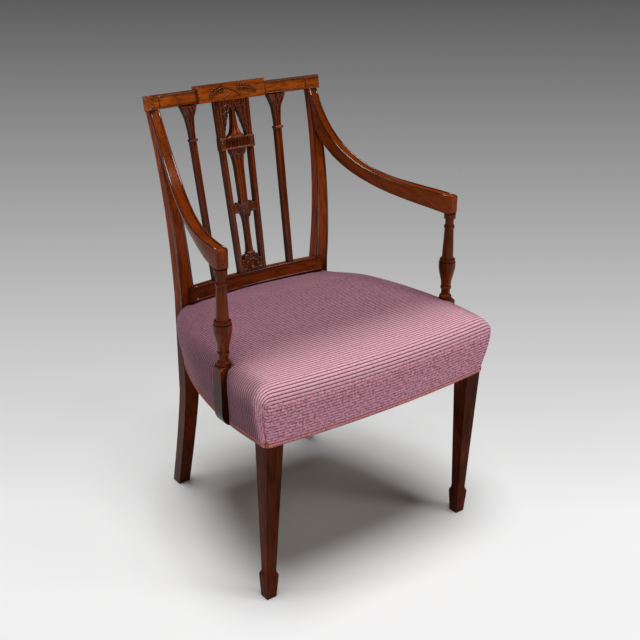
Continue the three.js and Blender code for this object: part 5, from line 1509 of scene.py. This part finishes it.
BAR_PROUD = 1
BAR_FOOT = SPLAT_FOOT + (POST_INNER - SPLAT_FOOT) * 0.506
HEAD_HALF = 19.5  # of the bar's capital
BAR_HEAD = box_mm("back_bar_right")[1][0] - HEAD_HALF
BAR_TOP = PANEL - 0.3
CAPITAL_HEIGHT, COLLAR_HEIGHT = 66, 7
COLLAR = BAR_TOP - CAPITAL_HEIGHT - COLLAR_HEIGHT
COLLAR_MIDDLE = COLLAR + COLLAR_HEIGHT / 2


def bar_shape(x, u):
    """A shaft of two reeds, a collar, and a capital of three leaves over reeds."""
    r = Relief(x)
    ax = np.abs(x)
    half = 6.5 + u / PANEL
    r.add(-2.0 + 2.0 * reeds(x / half, 2), ax - half, u - COLLAR - 3)
    t = (u - COLLAR_MIDDLE) / (BAR_TOP - COLLAR_MIDDLE)
    half = HEAD_HALF * curve(
        t, (0, 0.31), (0.25, 0.34), (0.5, 0.43), (0.62, 0.5), (0.72, 0.6), (0.8, 0.7), (0.88, 0.83),
        (0.95, 0.94), (1, 1),
    )  # fmt: skip
    w = x / half
    r.add(-1.6 + 2.2 * reeds(w, 3) + 1.2 * np.clip(t, 0, 1), ax - half, COLLAR - u)
    for i, long in ((-1, 0.34), (1, 0.34), (0, 0.5)):
        off = (w - 0.62 * i) / 0.42
        tip = 1 - long * (1 - dome(off)) - 0.02
        leaf = 0.6 + 1.6 * t + 1.8 * dome(off) ** 0.8 - 1.3 * ridge(off, 0.14)
        leaf = leaf + 1.0 * ridge(t - tip + 0.05, 0.04)
        r.add(leaf, (np.abs(off) - 1) * 5, (1 - long * dome(off) - t) * 40, ax - half)
    ring = (u - COLLAR_MIDDLE) / 2.6
    r.add(0.2 + 2.0 * dome(ring), ax - 8.6 - 0.9 * dome(ring), (np.abs(ring) - 1) * 2.6)
    return r.outside, r.forward


def in_bar(sign):
    def position(x, forward, up):
        across = BAR_FOOT + (BAR_HEAD - BAR_FOOT) * up / PANEL + x
        return np.column_stack(on_back(sign * across, -BAR_PROUD - bow(across) - forward, up))

    return position


for side, sign in (("right", 1), ("left", -1)):
    name = "back_bar_" + side
    carved("carved_bar_" + side, name, bar_shape, 21, BAR_TOP, 0.6, 12.0, in_bar(sign), sign < 0)

# ---------------------------------------------------------------- stage, light and camera

EYE = (-1135.5, -1549.5, 1273.8)
AZIMUTH, ELEVATION, TILT = map(math.radians, (-36.91, 23.49, 0.36))
LOOK_AT = Vector((0, 0, 0.6))  # of the lamps
SENSOR, FOCAL_PIXELS, PICTURE_PIXELS = 36, 1035.5, 640


def floor_material():
    """Painted light: pale near the camera and darker with distance, as a lit floor in a dark room.
    """
    n = Nodes("studio_floor")
    ahead = (-math.sin(AZIMUTH), math.cos(AZIMUTH), 0.0)
    depth = n.minus(n.dot(n.coords, ahead), float(np.dot(place([EYE])[0], ahead)))
    shade = n.minus(n.math("DIVIDE", 1.72, n.math("MAXIMUM", depth, 1.0)), 0.033)
    shade = n.math("MINIMUM", n.math("MAXIMUM", shade, 0.03), 0.87)
    colour = n.combine(shade, shade, shade)
    return n.finish({"Base Color": colour, "Roughness": 1.0, "Specular IOR Level": 0.0})


half = 30
floor_mesh = bpy.data.meshes.new("floor")
corners = [(-half, -half, 0), (half, -half, 0), (half, half, 0), (-half, half, 0)]
floor_mesh.from_pydata(corners, [], [(0, 1, 2, 3)])
floor = add_object("floor", floor_mesh)
floor.data.materials.append(floor_material())
floor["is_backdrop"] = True


def lamp(name, kind, energy, shines, **settings):
    data = bpy.data.lights.new(name, kind)
    data.energy = energy
    for key, value in settings.items():
        setattr(data, key, value)
    obj = add_object(name, data)
    obj.rotation_mode = "QUATERNION"
    obj.rotation_quaternion = shines.to_track_quat("-Z", "Y")
    return obj


def area_lamp(name, at, wide, high, energy):
    shines = LOOK_AT - Vector(at)
    obj = lamp(name, "AREA", energy, shines, shape="RECTANGLE", size=wide, size_y=high)
    obj.location = at


lamp("overhead", "SUN", 2.82, Vector((0.04, 0.06, -1)), angle=math.radians(32))
area_lamp("key", (1.55, -2.45, 2.6), 1.0, 1.3, 18)
area_lamp("side", (-2.3, 0.6, 2.2), 0.35, 1.4, 4)

world = bpy.data.worlds.new("studio")
bpy.context.scene.world = world
world.use_nodes = True
background = world.node_tree.nodes["Background"]
background.inputs["Color"].default_value = (0.9, 0.94, 1.0, 1)
background.inputs["Strength"].default_value = 0.015

flat = math.cos(ELEVATION)
back = Vector((math.sin(AZIMUTH) * flat, -math.cos(AZIMUTH) * flat, math.sin(ELEVATION)))
right = Vector((math.cos(AZIMUTH), math.sin(AZIMUTH), 0))
up = back.cross(right)
c, s = math.cos(TILT), math.sin(TILT)
right, up = c * right + s * up, c * up - s * right
camera_data = bpy.data.cameras.new("camera")
camera_data.sensor_width = SENSOR
camera_data.lens = SENSOR * FOCAL_PIXELS / PICTURE_PIXELS
camera = add_object("camera", camera_data)
axes = zip(right, up, back, place([EYE])[0])
camera.matrix_world = Matrix([*axes, (0, 0, 0, 1)])
bpy.context.scene.camera = camera
bpy.context.scene.view_settings.view_transform = "Standard"

bpy.context.view_layer.update()
low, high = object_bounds()
{"cad": [list(cad_low), list(cad_high)], "visual": [list(low), list(high)]}
